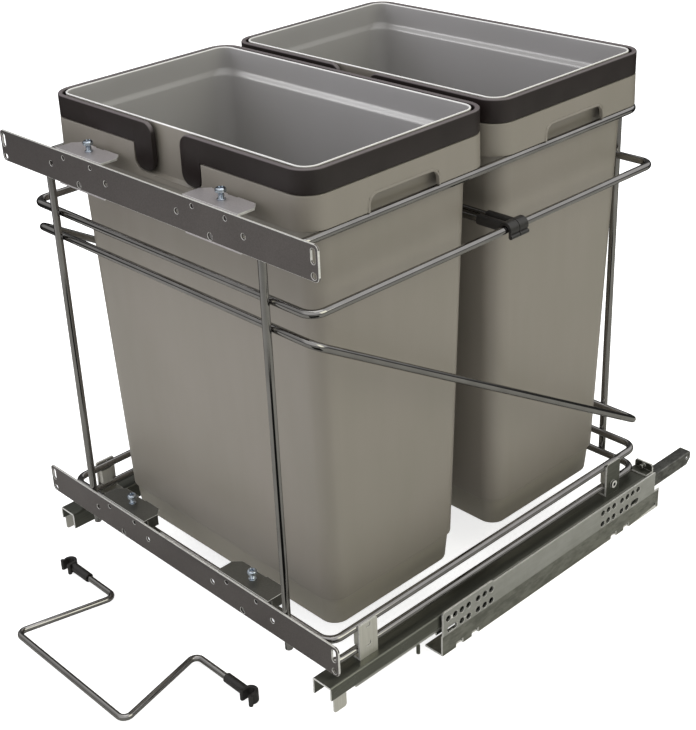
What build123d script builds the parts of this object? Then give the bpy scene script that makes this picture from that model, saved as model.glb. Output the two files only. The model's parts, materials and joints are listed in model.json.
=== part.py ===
"""Bottom-mounted pull-out waste unit: two lift-out bins in a wire frame on full-extension runners.

Millimetres. X to the right, Y from the door to the rear, Z up from the cabinet floor.
It stands as photographed, with the frame pulled out by 55 mm.
"""
from build123d import *
import os

# bins
bin_half_x = 166.5
bin_depth = 204.0
bin_front_y = 29.6               # behind the face of the door plates
bin_gap = 8.0
bin_corner = 21.0
bin_height = 433.0
bin_ledge_depth = 23.0           # rim to the step inside
collar_height = 49.0
collar_draft = 3.2               # the collar is this much wider at its bottom than at the rim
bin_wall = 2.5
body_inset_x = 8.5
body_inset_y = 11.0
body_taper_x = 9.0
body_taper_y = 10.5
body_corner = 18.0
foot_height = 29.0
foot_inset = 2.5
foot_draft = 2.0
foot_edge_radius = 4.0
ledge_edge_radius = 2.5
rim_edge_radius = 0.9
hand_slot_half_y = 38.5
hand_slot_height = 13.0
hand_slot_corner = 9.0
hand_slot_lip = 3.0
hand_slot_lip_height = 1.0

# bag rings, over the rims
ring_gap = 0.3
ring_wall = 2.3
ring_edge_radius = 0.6
ring_height = 20.0
ring_split_half_x = 18.7
hook_width = 23.9
hook_drop = 22.3
hook_corner = 10.0

# runners: cabinet rail, middle member and drawer member, one inside the other
rail_width = 13.5
rail_inset = 4.8                 # inner face of the rail, inside the hoops' centre line
rail_top_z = 33.0
rail_wall_height = 13.5
rail_sheet = 1.5
rail_front_y = 132.0
rail_length = 395.0
rail_tail_chamfer = 6.0
tail_hole_radius = 1.8
side_gap = 0.6                   # running gap between members
middle_sheet = 1.5
middle_front_y = 29.6
middle_length = 410.4
middle_wall_drop = 7.5           # bottom of the middle member's walls below the top of the rail
pin_radius = 1.75
pin_y = 106.0
pin_length = 8.6
pin_offset = 0.2                 # pin centre outside the wall's outer face
drawer_sheet = 1.8
drawer_front_y = -1.0
drawer_rear_room = 14.7          # drawer members behind the hoops' rear runs
drawer_outer_height = 13.0
drawer_inner_height = 16.7
drawer_notch_start_y = 112.0
drawer_notch_length = 51.0
drawer_notch_depth = 1.0
rear_hook_height = 9.3
rear_hook_foot = 10.0
rear_hook_boss_radius = 2.2
rear_hook_boss_length = 5.0
front_hook_start_y = 1.7
front_hook_length = 14.9
front_hook_drop = 14.7
front_hook_sheet = 1.4
front_hook_corner = 3.0

# roller cages between the members
roller_gap = 0.3
lower_roller_radius = 1.5
upper_roller_radius = 1.6
roller_length = 9.0
cage_sheet = 1.0
cage_width = 12.0
roller_count = 6
lower_cage_front_y = 225.0
lower_cage_length = 125.0
upper_cage_front_y = 130.0
upper_cage_length = 230.0

# cabinet brackets, screwed to the cabinet floor and sides
bracket_width = 22.3
bracket_gap = 2.0                # between the drawer member and the side flange
bracket_length = 319.0
bracket_toe_length = 9.5         # the foot goes this much further back than the flange's top
bracket_height = 45.8
bracket_pad_height = 48.0        # the raised pad that holds the front holes
bracket_pad_length = 68.0
bracket_pad_corner = 2.0
bracket_sheet = 1.8
bracket_crease_z = 21.0          # the flange is set in below this level
bracket_crease_set = 1.0
bracket_crease_rise = 1.5
bracket_web_sheet = 2.0
bracket_web_start = 33.0         # from the front of the bracket
bracket_web_length = 290.0
side_hole_radius = 3.2
side_hole_pitch = 9.0
upper_row_z = 39.0
lower_row_z = 26.7
hole_mid = 148.5                 # from the front of the bracket to the line that the rows are mirrored about
outer_group_offset = 114.5       # from that line to the first hole of the group of four
inner_group_offset = 101.5       # from that line to the first hole of the group of three
slot_offset = 136.5
slot_length = 13.0
toe_hole_radius = 1.6
toe_hole_inset = 5.5
floor_hole_radius = 2.5
floor_hole_inset = 7.0
drain_offsets = (125.5, 104.5)   # notches along the bend, from the middle line
drain_width = 9.0
drain_height = 3.6

# wire frame
wire_radius = 3.5
frame_height = 371.6             # lower base ring to the top support wire
hoop_side_room = 18.5            # hoops outside the bins' collars
hoop_front_y = 12.5
hoop_rear_inset = 8.3            # rear runs, inside the back of the last collar
hoop_corner = 12.0
base_ring_corner = 13.0
base_ring_rise = 9.2             # lower ring above the drawer members
base_ring_pitch = 22.8
middle_hoop_drop = 49.2          # below the top support wire
tilted_front_drop = 72.7
tilted_rear_rise = 53.1          # above the lower base ring
top_wire_inset = 1.7             # inside the collars' outer faces
top_wire_rear_inset = 4.1
top_wire_corner = 17.5
post_x = 140.5
front_post_foot = 2.9            # the post ends this much below the lower ring's centre
front_post_head = 5.4            # and this much above the middle of the upper plate

# plates that tie the base rings to the drawer members
base_plate_sheet = 2.0
base_plate_front_y = 41.0
base_plate_width = 21.5
base_plate_height = 36.0
base_plate_rear_inset = 32.5     # from the rear plate to the rear run of the rings
base_plate_foot = 12.0
base_plate_corner = 2.0
lance_width = 5.0
lance_cut = 1.0
lance_leg = 4.1
rear_boss_radius = 4.0
rear_boss_length = 2.2
spacer_block_width = 12.0
spacer_block_depth = 6.5
spacer_block_inset = 1.5

# door plates
plate_half_x = 208.0
plate_height = 29.0
plate_sheet = 2.0
plate_corner = 4.0
lower_plate_drop = 0.5           # middle of the plate below the upper base ring
upper_plate_rise = 3.1           # middle of the plate above the top support wire
group_x = 87.4
middle_hole_x = 40.0
middle_hole_radius = 2.5
small_hole_x = 19.8
small_hole_z = 9.2
small_hole_radius = 2.0
centre_hole_z = -10.5
centre_hole_radius = 3.0
centre_hole_depth = 0.6          # dimple in the bracket behind
end_hole_inset = 5.2
end_slot_z = 5.2
end_slot_width = 4.8
end_slot_length = 12.5
end_hole_z = -10.2
end_hole_radius = 2.75

# adjusting brackets behind the door plates
tab_half_x = 33.3
tab_sheet = 2.0
tab_rise = 0.9                   # top of the tab above the plate
tab_depth = 23.5
tab_corner = 7.0
tab_step_width = 12.0
tab_step_depth = 1.2
flange_drop = 2.5                # vertical flange below the plate
side_flange_start = 4.5
nut_half_x = 6.0
nut_length = 9.0
nut_floor = 1.0
screw_y = 13.8
screw_radius = 2.6
screw_clearance = 0.4
screw_head_radius = 4.6
screw_head_height = 3.6
screw_head_edge = 1.8
screw_standoff = 6.4             # tab top to underside of the head
screw_collar_radius = 3.6
screw_collar_height = 1.2
screw_recess_width = 1.4
screw_recess_length = 5.0
screw_recess_depth = 1.6

# dividers: one hangs on the middle hoop, one lies loose in front
divider_wire_radius = 3.0
divider_bend = 7.0
divider_leg = 96.6
divider_splay = 23.0
divider_bend_half_x = 61.8       # bends of the arms, from the middle
mounted_divider_offset = 9.0     # rear one of the two, behind the middle of the gap between the bins
divider_pitch = 11.5             # between the two mounted dividers
loose_span_half_x = 137.7        # clip centres of the loose one
loose_divider_x = -17.5
loose_divider_y = -24.0
clip_gap = 0.3
clip_wall = 3.0
clip_length = 11.0
clip_sleeve_radius = 4.6
clip_sleeve_length = 27.0
clip_mouth = 7.6                 # as wide as the bore, so that the rigid clip lifts off its wire
clip_lip_radius = 2.0

# widths that follow
hoop_half_x = bin_half_x + hoop_side_room
top_wire_half_x = bin_half_x - top_wire_inset
rim_half_x = bin_half_x - collar_draft
rail_inner_x = hoop_half_x - rail_inset
rail_outer_x = rail_inner_x + rail_width
runner_mid_x = rail_inner_x + rail_width / 2
middle_inner_x = rail_inner_x - side_gap - middle_sheet
middle_outer_x = rail_outer_x + side_gap + middle_sheet
drawer_inner_x = middle_inner_x - side_gap - drawer_sheet
drawer_outer_x = middle_outer_x + side_gap + drawer_sheet
bracket_outer_x = drawer_outer_x + bracket_gap + bracket_sheet
bracket_inner_x = bracket_outer_x - bracket_width
end_hole_x = plate_half_x - end_hole_inset

# levels that follow
middle_top_z = rail_top_z + 2 * lower_roller_radius + 2 * roller_gap + middle_sheet
middle_wall_bottom_z = rail_top_z - middle_wall_drop
drawer_top_z = middle_top_z + 2 * upper_roller_radius + 2 * roller_gap + drawer_sheet
lower_ring_z = drawer_top_z + base_ring_rise
upper_ring_z = lower_ring_z + base_ring_pitch
top_wire_z = lower_ring_z + frame_height
middle_hoop_z = top_wire_z - middle_hoop_drop
tilted_front_z = top_wire_z - tilted_front_drop
tilted_rear_z = lower_ring_z + tilted_rear_rise
lower_plate_z = upper_ring_z - lower_plate_drop
upper_plate_z = top_wire_z + upper_plate_rise
collar_bottom_z = top_wire_z + wire_radius
bin_rim_z = collar_bottom_z + collar_height
bin_ledge_z = bin_rim_z - bin_ledge_depth
bin_bottom_z = bin_rim_z - bin_height
foot_top_z = bin_bottom_z + foot_height
ring_top_z = bin_rim_z           # flush, so that the rim shows as a line inside the ring
ring_bottom_z = ring_top_z - ring_height
hook_bottom_z = ring_bottom_z - hook_drop

# places from front to back that follow
bin_pitch = bin_depth + bin_gap
bin_centres_y = (bin_front_y + bin_depth / 2, bin_front_y + bin_depth / 2 + bin_pitch)
bins_end_y = bin_front_y + bin_depth + bin_pitch
hoop_rear_y = bins_end_y - hoop_rear_inset
top_wire_rear_y = bins_end_y - top_wire_rear_inset
front_post_y = hoop_front_y - 2 * wire_radius
rear_post_y = hoop_rear_y + 2 * wire_radius
base_plate_rear_y = hoop_rear_y - base_plate_rear_inset - base_plate_width
mounted_divider_y = bin_front_y + bin_depth + bin_gap / 2 + mounted_divider_offset
second_divider_y = mounted_divider_y - divider_pitch
drawer_end_y = hoop_rear_y + drawer_rear_room
bracket_front_y = rail_front_y
rail_end_y = rail_front_y + rail_length
side_hole_mid_y = bracket_front_y + hole_mid
clip_bore_radius = wire_radius + clip_gap
clip_head_radius = clip_bore_radius + clip_wall
loose_divider_z = max(clip_length / 2, divider_wire_radius)
loose_front_y = loose_divider_y - divider_leg - divider_wire_radius
origin_y = (loose_front_y + rail_end_y) / 2


def block(x0, x1, y0, y1, z0, z1):
    """A box between two corners."""
    return Pos((x0 + x1) / 2, (y0 + y1) / 2, (z0 + z1) / 2) * Box(x1 - x0, y1 - y0, z1 - z0)


def rod(radius, start, end):
    """A round bar from one point to another."""
    axis = Vector(*end) - Vector(*start)
    return Plane(origin=start, z_dir=axis) * Cylinder(radius, axis.length, align=(Align.CENTER, Align.CENTER, Align.MIN))


def both_sides(part):
    """The right-hand piece and its mirror image."""
    return {"right": part, "left": mirror(part, about=Plane.YZ)}


def rounded_outline(half_x, half_y, radius, centre_y, z):
    return Pos(0, centre_y, z) * RectangleRounded(2 * half_x, 2 * half_y, radius)


def drafted_block(bottom, top, centre_y):
    """A rounded block between two outlines, each given as half_x, half_y, radius and z."""
    lower = rounded_outline(bottom[0], bottom[1], bottom[2], centre_y, bottom[3])
    upper = rounded_outline(top[0], top[1], top[2], centre_y, top[3])
    return loft([lower, upper])


def wire_loop(half_x, front, rear, corner):
    """A closed loop of frame wire; front and rear are the y and z of its cross runs."""
    path = FilletPolyline(
        (half_x, front[0], front[1]),
        (half_x, rear[0], rear[1]),
        (-half_x, rear[0], rear[1]),
        (-half_x, front[0], front[1]),
        radius=corner,
        close=True,
    )
    section = Plane(origin=path @ 0, z_dir=path % 0) * Circle(wire_radius)
    return sweep(section, path=path)


def channel(inner_x, outer_x, y0, y1, top_z, inner_bottom_z, outer_bottom_z, sheet):
    """An inverted channel, bent from sheet, with rounded top edges."""
    full = block(inner_x, outer_x, y0, y1, min(inner_bottom_z, outer_bottom_z), top_z)
    full = fillet(full.edges().filter_by(Axis.Y).group_by(Axis.Z)[-1], sheet * 1.2)
    inside = block(inner_x + sheet, outer_x - sheet, y0, y1, min(inner_bottom_z, outer_bottom_z), top_z - sheet)
    shape = full - inside
    if outer_bottom_z > inner_bottom_z:
        middle = (inner_x + outer_x) / 2
        shape -= block(middle, outer_x, y0, y1, inner_bottom_z, outer_bottom_z)
    return shape


# ---------------------------------------------------------------- cabinet side

def creased_flange(y0, y1, top_z):
    """Upright sheet against the cabinet side, set in below its crease."""
    low_x = bracket_outer_x - bracket_crease_set
    crease_top = bracket_crease_z + bracket_crease_rise
    outline = [
        (low_x, 0),
        (low_x, bracket_crease_z),
        (bracket_outer_x, crease_top),
        (bracket_outer_x, top_z),
        (bracket_outer_x - bracket_sheet, top_z),
        (bracket_outer_x - bracket_sheet, crease_top),
        (low_x - bracket_sheet, bracket_crease_z),
        (low_x - bracket_sheet, 0),
    ]
    across = Plane(origin=(0, y0, 0), x_dir=(1, 0, 0), z_dir=(0, -1, 0))
    return extrude(across * make_face(Polyline(*outline, close=True)), y0 - y1)


def cabinet_bracket():
    """Angle on the cabinet floor and side, with a web that carries the rail."""
    sheet = bracket_sheet
    inner = bracket_outer_x - sheet
    low_x = bracket_outer_x - bracket_crease_set
    top_end = bracket_front_y + bracket_length
    foot_end = top_end + bracket_toe_length
    base = block(bracket_inner_x, low_x, bracket_front_y, foot_end, 0, sheet)
    flange = creased_flange(bracket_front_y, top_end, bracket_height)
    toe = creased_flange(top_end, foot_end, bracket_height / 2)
    pad_end = bracket_front_y + bracket_pad_length
    pad = block(inner, bracket_outer_x, bracket_front_y, pad_end, bracket_height / 2, bracket_pad_height)
    pad = fillet(pad.edges().filter_by(Axis.X).group_by(Axis.Z)[-1], bracket_pad_corner)
    web_start = bracket_front_y + bracket_web_start
    web_x0 = runner_mid_x - bracket_web_sheet / 2
    web_x1 = runner_mid_x + bracket_web_sheet / 2
    web = block(web_x0, web_x1, web_start, web_start + bracket_web_length, sheet, rail_top_z - rail_sheet)
    shape = base + flange + toe + pad + web
    across = (bracket_outer_x - 2 * sheet, bracket_outer_x + sheet)
    for side in (-1, 1):
        for index in range(4):
            y = side_hole_mid_y + side * (outer_group_offset + index * side_hole_pitch)
            shape -= rod(side_hole_radius, (across[0], y, upper_row_z), (across[1], y, upper_row_z))
            if index < 2:
                shape -= rod(side_hole_radius, (across[0], y, lower_row_z), (across[1], y, lower_row_z))
        for index in range(3):
            y = side_hole_mid_y + side * (inner_group_offset - index * side_hole_pitch)
            shape -= rod(side_hole_radius, (across[0], y, upper_row_z), (across[1], y, upper_row_z))
            shape -= rod(side_hole_radius, (across[0], y, lower_row_z), (across[1], y, lower_row_z))
        slot_y = side_hole_mid_y + side * slot_offset
        slot = Plane(origin=(across[0], slot_y, lower_row_z), x_dir=(0, 1, 0), z_dir=(1, 0, 0))
        shape -= extrude(slot * SlotOverall(slot_length, 2 * side_hole_radius), across[1] - across[0])
        for offset in drain_offsets:
            y = side_hole_mid_y + side * offset
            y0 = y - drain_width / 2
            shape -= block(across[0], across[1], y0, y0 + drain_width, 0, sheet + drain_height)
        floor_x = bracket_outer_x - floor_hole_inset
        floor_y = side_hole_mid_y + side * (outer_group_offset + 2 * side_hole_pitch)
        shape -= rod(floor_hole_radius, (floor_x, floor_y, -sheet), (floor_x, floor_y, 2 * sheet))
    toe_y = foot_end - toe_hole_inset
    return shape - rod(toe_hole_radius, (across[0], toe_y, toe_hole_inset), (across[1], toe_y, toe_hole_inset))


def cabinet_rail():
    """Fixed runner channel with a chamfered tail and a hole through it."""
    bottom = rail_top_z - rail_wall_height
    shape = channel(rail_inner_x, rail_outer_x, rail_front_y, rail_end_y, rail_top_z, bottom, bottom, rail_sheet)
    low_tail = shape.edges().filter_by(Axis.X).group_by(Axis.Z)[0].group_by(Axis.Y)[-1]
    shape = chamfer(low_tail, rail_tail_chamfer)
    hole_y = rail_end_y - rail_tail_chamfer
    hole_z = rail_top_z - rail_wall_height / 2 + rail_sheet
    return shape - rod(
        tail_hole_radius, (rail_inner_x - rail_sheet, hole_y, hole_z), (rail_outer_x + rail_sheet, hole_y, hole_z)
    )


# ---------------------------------------------------------------- moving runner members

def middle_member():
    return channel(
        middle_inner_x, middle_outer_x, middle_front_y, middle_front_y + middle_length,
        middle_top_z, middle_wall_bottom_z, middle_wall_bottom_z, middle_sheet,
    )


def middle_pin():
    """Catch pin under the outer wall."""
    x = middle_outer_x + pin_offset
    top = middle_wall_bottom_z
    return rod(pin_radius, (x, pin_y, top - pin_length), (x, pin_y, top))


def roller_cage(front_y, length, level, radius):
    """Plastic strip with a window for each roller."""
    shape = block(
        runner_mid_x - cage_width / 2, runner_mid_x + cage_width / 2,
        front_y, front_y + length, level - cage_sheet / 2, level + cage_sheet / 2,
    )
    for y in roller_places(front_y, length):
        half = radius + roller_gap
        reach = roller_length / 2 + roller_gap
        shape -= block(
            runner_mid_x - reach, runner_mid_x + reach, y - half, y + half, level - cage_sheet, level + cage_sheet
        )
    return shape


def roller_places(front_y, length):
    step = length / roller_count
    return [front_y + step * (index + 0.5) for index in range(roller_count)]


def rollers(front_y, length, level, radius):
    row = []
    for y in roller_places(front_y, length):
        start = (runner_mid_x - roller_length / 2, y, level)
        end = (runner_mid_x + roller_length / 2, y, level)
        row.append(rod(radius, start, end))
    return row


def drawer_member():
    """Outer runner channel, under the wire frame."""
    shape = channel(
        drawer_inner_x, drawer_outer_x, drawer_front_y, drawer_end_y,
        drawer_top_z, drawer_top_z - drawer_inner_height, drawer_top_z - drawer_outer_height, drawer_sheet,
    )
    bottom = drawer_top_z - drawer_inner_height
    return shape - block(
        drawer_inner_x - drawer_sheet, drawer_inner_x + drawer_sheet,
        drawer_notch_start_y, drawer_notch_start_y + drawer_notch_length, bottom - 1, bottom + drawer_notch_depth,
    )


def rear_hook():
    """Upright plate across the rear end of the drawer member, with its locating boss."""
    sheet = drawer_sheet
    y0 = drawer_end_y - sheet
    x0 = drawer_inner_x + sheet
    x1 = drawer_outer_x
    plate = block(x0, x1, y0, drawer_end_y, drawer_top_z, drawer_top_z + rear_hook_height)
    plate = fillet(plate.edges().filter_by(Axis.Y).group_by(Axis.Z)[-1], rear_hook_height / 3)
    foot = block(x0, x1, y0 - rear_hook_foot, drawer_end_y, drawer_top_z, drawer_top_z + sheet)
    middle = (x0 + x1) / 2
    height = drawer_top_z + (rear_hook_height + sheet) / 2
    boss = rod(rear_hook_boss_radius, (middle, y0 - rear_hook_boss_length, height), (middle, y0, height))
    return plate + foot + boss


def front_hook():
    """Bright tab that hangs below the outer flange at the front."""
    top = drawer_top_z - drawer_outer_height
    x0 = drawer_outer_x - (drawer_sheet + front_hook_sheet) / 2
    y0 = front_hook_start_y
    tab = block(x0, x0 + front_hook_sheet, y0, y0 + front_hook_length, top - front_hook_drop, top)
    return fillet(tab.edges().filter_by(Axis.X).group_by(Axis.Z)[0], front_hook_corner)


# ---------------------------------------------------------------- wire frame

def base_plate(front_y, boss):
    """Plate welded outside the two base rings, with its foot on the drawer member."""
    x0 = hoop_half_x + wire_radius
    x1 = x0 + base_plate_sheet
    end_y = front_y + base_plate_width
    top_z = drawer_top_z + base_plate_height
    plate = block(x0, x1, front_y, end_y, drawer_top_z, top_z)
    plate = fillet(plate.edges().filter_by(Axis.X).group_by(Axis.Z)[-1], base_plate_corner)
    foot = block(x1 - base_plate_foot, x1, front_y, end_y, drawer_top_z, drawer_top_z + base_plate_sheet)
    shape = plate + foot
    middle_y = (front_y + end_y) / 2
    if boss:
        low_z = drawer_top_z + base_plate_height * 0.3
        shape += rod(rear_boss_radius, (x1, middle_y, low_z), (x1 + rear_boss_length, middle_y, low_z))
        shape -= rod(
            rear_boss_radius / 2, (x0 - 1, middle_y, low_z), (x1 + rear_boss_length + 1, middle_y, low_z)
        )
    else:
        edge = middle_y + lance_width / 2
        for z in (drawer_top_z + base_plate_height * 0.3, drawer_top_z + base_plate_height * 0.84):
            shape -= block(x0 - 1, x1 + 1, edge - lance_width, edge, z, z + lance_cut)
            shape -= block(x0 - 1, x1 + 1, edge - lance_cut, edge, z, z + lance_leg)
    return shape


def spacer_block(front_y):
    """Weld block between the two base rings, inside the plate."""
    x1 = hoop_half_x + wire_radius
    z0 = lower_ring_z + wire_radius
    z1 = upper_ring_z - wire_radius
    y0 = front_y + spacer_block_inset
    return block(x1 - spacer_block_depth, x1, y0, y0 + spacer_block_width, z0, z1)


def front_post(x):
    bottom = lower_ring_z - front_post_foot
    return rod(wire_radius, (x, front_post_y, bottom), (x, front_post_y, upper_plate_z + front_post_head))


def rear_post(x):
    """Rear post, from behind the lower ring up to the top wire that rests on it."""
    bottom = lower_ring_z - wire_radius
    return rod(wire_radius, (x, rear_post_y, bottom), (x, rear_post_y, top_wire_z - wire_radius))


# ---------------------------------------------------------------- door plates and their brackets

def door_plate(centre_z):
    face = RectangleRounded(2 * plate_half_x, plate_height, plate_corner)
    for side in (-1, 1):
        group = side * group_x
        for hole in (-1, 1):
            face -= Pos(group + hole * middle_hole_x, 0) * Circle(middle_hole_radius)
            face -= Pos(group + hole * small_hole_x, small_hole_z) * Circle(small_hole_radius)
        face -= Pos(group, centre_hole_z) * Circle(centre_hole_radius)
        face -= Pos(side * end_hole_x, end_hole_z) * Circle(end_hole_radius)
        face -= Pos(side * end_hole_x, end_slot_z) * Rot(0, 0, 90) * SlotOverall(end_slot_length, end_slot_width)
    front = Plane(origin=(0, 0, centre_z), x_dir=(1, 0, 0), z_dir=(0, -1, 0))
    return extrude(front * face, -plate_sheet)


def door_bracket(x, plate_z, wire_z, has_sides):
    """Angle welded on the wire behind the plate, with a tab for the adjusting screw."""
    top_z = plate_z + plate_height / 2 + tab_rise
    rest_z = wire_z + wire_radius
    front_y = plate_sheet
    back_y = front_y + tab_sheet
    flange = block(x - tab_half_x, x + tab_half_x, front_y, back_y, plate_z - plate_height / 2 - flange_drop, top_z)
    tab_end = front_y + tab_depth
    tab = block(x - tab_half_x, x + tab_half_x, front_y, tab_end, top_z - tab_sheet, top_z)
    tab = chamfer(tab.edges().filter_by(Axis.Z).group_by(Axis.Y)[-1], tab_corner)
    step_x0 = x - tab_step_width / 2
    step_x1 = x + tab_step_width / 2
    tab -= block(step_x0, step_x1, tab_end - tab_step_depth, tab_end + 1, top_z - 2 * tab_sheet, top_z + 1)
    shape = flange + tab
    for side in (-1, 1) if has_sides else ():
        edge = x + side * tab_half_x
        inner = edge - side * tab_sheet
        start = front_y + side_flange_start
        shape += block(min(edge, inner), max(edge, inner), start, tab_end - tab_corner, rest_z, top_z - tab_sheet)
    hole = screw_radius + screw_clearance
    shape -= rod(hole, (x, screw_y, top_z - 2 * tab_sheet), (x, screw_y, top_z + tab_sheet))
    dimple_z = plate_z + centre_hole_z
    return shape - rod(centre_hole_radius, (x, 0, dimple_z), (x, front_y + centre_hole_depth, dimple_z))


def nut_block(x, plate_z, wire_z):
    """Threaded block between the wire and the tab."""
    z0 = wire_z + wire_radius
    z1 = plate_z + plate_height / 2 + tab_rise - tab_sheet
    y0 = screw_y - nut_length / 2
    shape = block(x - nut_half_x, x + nut_half_x, y0, y0 + nut_length, z0, z1)
    return shape - rod(screw_radius, (x, screw_y, z0 + nut_floor), (x, screw_y, z1 + nut_floor))


def adjusting_screw(x, plate_z, wire_z):
    """Cross-recessed screw that stands above its tab."""
    tab_top = plate_z + plate_height / 2 + tab_rise
    tip = wire_z + wire_radius + nut_floor
    head_z = tab_top + screw_standoff
    shank = rod(screw_radius, (x, screw_y, tip), (x, screw_y, head_z))
    head = rod(screw_head_radius, (x, screw_y, head_z), (x, screw_y, head_z + screw_head_height))
    head = fillet(head.edges().group_by(Axis.Z)[-1], screw_head_edge)
    collar = rod(screw_collar_radius, (x, screw_y, tab_top), (x, screw_y, tab_top + screw_collar_height))
    shape = shank + head + collar
    top = head_z + screw_head_height
    for width, length in ((screw_recess_width, screw_recess_length), (screw_recess_length, screw_recess_width)):
        shape -= block(
            x - length / 2, x + length / 2, screw_y - width / 2, screw_y + width / 2, top - screw_recess_depth, top + 1
        )
    return shape


# ---------------------------------------------------------------- bins and bag rings

def collar_half(z):
    """Half width of the collar's outer face at a level, between its bottom and the rim."""
    share = (bin_rim_z - z) / (bin_rim_z - collar_bottom_z)
    return rim_half_x + collar_draft * share


def collar_outline(z, grow):
    """Half sizes, corner radius and level of the collar's outer face, moved out by grow."""
    half_x = collar_half(z) + grow
    half_y = half_x - bin_half_x + bin_depth / 2
    radius = bin_corner + half_x - bin_half_x
    return (half_x, half_y, radius, z)


def body_outline(z, grow):
    """The same for the tapered body, from its foot line to the ledge."""
    share = (bin_ledge_z - z) / (bin_ledge_z - foot_top_z)
    inset_x = body_inset_x + body_taper_x * share - grow
    inset_y = body_inset_y + body_taper_y * share - grow
    return (bin_half_x - inset_x, bin_depth / 2 - inset_y, body_corner + grow, z)


def waste_bin(centre_y):
    """Moulded bin: foot, drafted body, ledge, and a deep collar that turns down over the support wire."""
    top = body_outline(bin_ledge_z, 0)
    low = body_outline(foot_top_z, 0)
    foot_half_x = low[0] - foot_inset
    foot_half_y = low[1] - foot_inset
    foot = drafted_block(
        (foot_half_x - foot_draft, foot_half_y - foot_draft, body_corner - foot_inset, bin_bottom_z),
        (foot_half_x, foot_half_y, body_corner - foot_inset, foot_top_z),
        centre_y,
    )
    foot = fillet(foot.faces().sort_by(Axis.Z)[0].edges(), foot_edge_radius)
    body = drafted_block(low, top, centre_y) + foot
    step_z = foot_top_z + bin_wall
    hollow_low = body_outline(step_z, -bin_wall)
    hollow_top = body_outline(bin_ledge_z, -bin_wall)
    body -= drafted_block(hollow_low, hollow_top, centre_y)
    pit_half_x = foot_half_x - bin_wall
    pit_half_y = foot_half_y - bin_wall
    pit_corner = body_corner - foot_inset - bin_wall
    pit = drafted_block(
        (pit_half_x - foot_draft, pit_half_y - foot_draft, pit_corner, bin_bottom_z + bin_wall),
        (pit_half_x, pit_half_y, pit_corner, step_z),
        centre_y,
    )
    body -= fillet(pit.faces().sort_by(Axis.Z)[0].edges(), foot_edge_radius - bin_wall)

    collar = drafted_block(collar_outline(collar_bottom_z, 0), collar_outline(bin_rim_z, 0), centre_y)
    collar -= drafted_block(
        collar_outline(collar_bottom_z, -bin_wall), collar_outline(bin_rim_z, -bin_wall), centre_y
    )
    collar = fillet(collar.edges().group_by(Axis.Z)[-1], rim_edge_radius)
    ledge_low = bin_ledge_z - bin_wall
    ledge = extrude(rounded_outline(*collar_outline(ledge_low, -bin_wall / 2)[:3], centre_y, ledge_low), bin_wall)
    inside = body_outline(bin_ledge_z, -bin_wall)
    ledge -= extrude(rounded_outline(*inside[:3], centre_y, ledge_low - 1), bin_wall + 2)
    shape = body + collar + ledge
    ledge_edges = shape.edges().filter_by_position(Axis.Z, bin_ledge_z - 0.01, bin_ledge_z + 0.01)
    shape = fillet(ledge_edges, ledge_edge_radius)

    slot_top = collar_bottom_z + hand_slot_height
    lip_top = slot_top + 2 * hand_slot_lip
    lip_shell = drafted_block(
        collar_outline(collar_bottom_z, hand_slot_lip_height), collar_outline(lip_top, hand_slot_lip_height), centre_y
    )
    lip_shell -= drafted_block(
        collar_outline(collar_bottom_z, -bin_wall / 2), collar_outline(lip_top, -bin_wall / 2), centre_y
    )
    start_x = bin_half_x - collar_draft - bin_wall
    for side in (-1, 1):
        face = Plane(origin=(side * start_x, centre_y, collar_bottom_z), x_dir=(0, side, 0), z_dir=(side, 0, 0))
        frame = slot_outline(hand_slot_half_y + hand_slot_lip, hand_slot_height + hand_slot_lip)
        shape += extrude(face * frame, 20) & lip_shell
        shape -= extrude(face * slot_outline(hand_slot_half_y, hand_slot_height), 20)
    return shape


def slot_outline(half_width, height):
    """A doorway shape that stands on the line y = 0, with rounded top corners."""
    radius = min(hand_slot_corner, height - 1)
    box = Pos(0, height / 2) * Rectangle(2 * half_width, height)
    return fillet(box.vertices().group_by(Axis.Y)[-1], radius)


def bag_ring(centre_y):
    """Split band round the rim that clamps the bag, with two hooks at the front."""
    outer = ring_gap + ring_wall
    shell = drafted_block(collar_outline(hook_bottom_z, outer), collar_outline(ring_top_z, outer), centre_y)
    shell -= drafted_block(collar_outline(hook_bottom_z, ring_gap), collar_outline(ring_top_z, ring_gap), centre_y)
    reach = 2 * bin_half_x
    keep = extrude(Pos(0, centre_y, ring_bottom_z) * Rectangle(2 * reach, 2 * reach), ring_height)
    front = Plane(origin=(0, centre_y, 0), x_dir=(1, 0, 0), z_dir=(0, -1, 0))
    gap_middle = (hook_bottom_z + ring_top_z) / 2
    keep -= extrude(front * Pos(0, gap_middle) * Rectangle(2 * ring_split_half_x, ring_top_z - hook_bottom_z), reach)
    for side in (-1, 1):
        middle = side * (ring_split_half_x + hook_width / 2)
        hook = Pos(middle, gap_middle) * Rectangle(hook_width, ring_top_z - hook_bottom_z)
        hook = fillet(hook.vertices().group_by(Axis.Y)[0], hook_corner)
        shoulder = hook.vertices().group_by(Axis.Y)[-1].sort_by(Axis.X)[0 if side > 0 else -1]
        rounded = fillet(shoulder, hook_corner)
        keep += extrude(front * hook, reach)
        keep -= extrude(front * (hook - rounded), reach)
    band = shell & keep
    top_edges = band.edges().filter_by_position(Axis.Z, ring_top_z - 0.01, ring_top_z + 0.01)
    return fillet(top_edges, ring_edge_radius)


# ---------------------------------------------------------------- dividers

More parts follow.
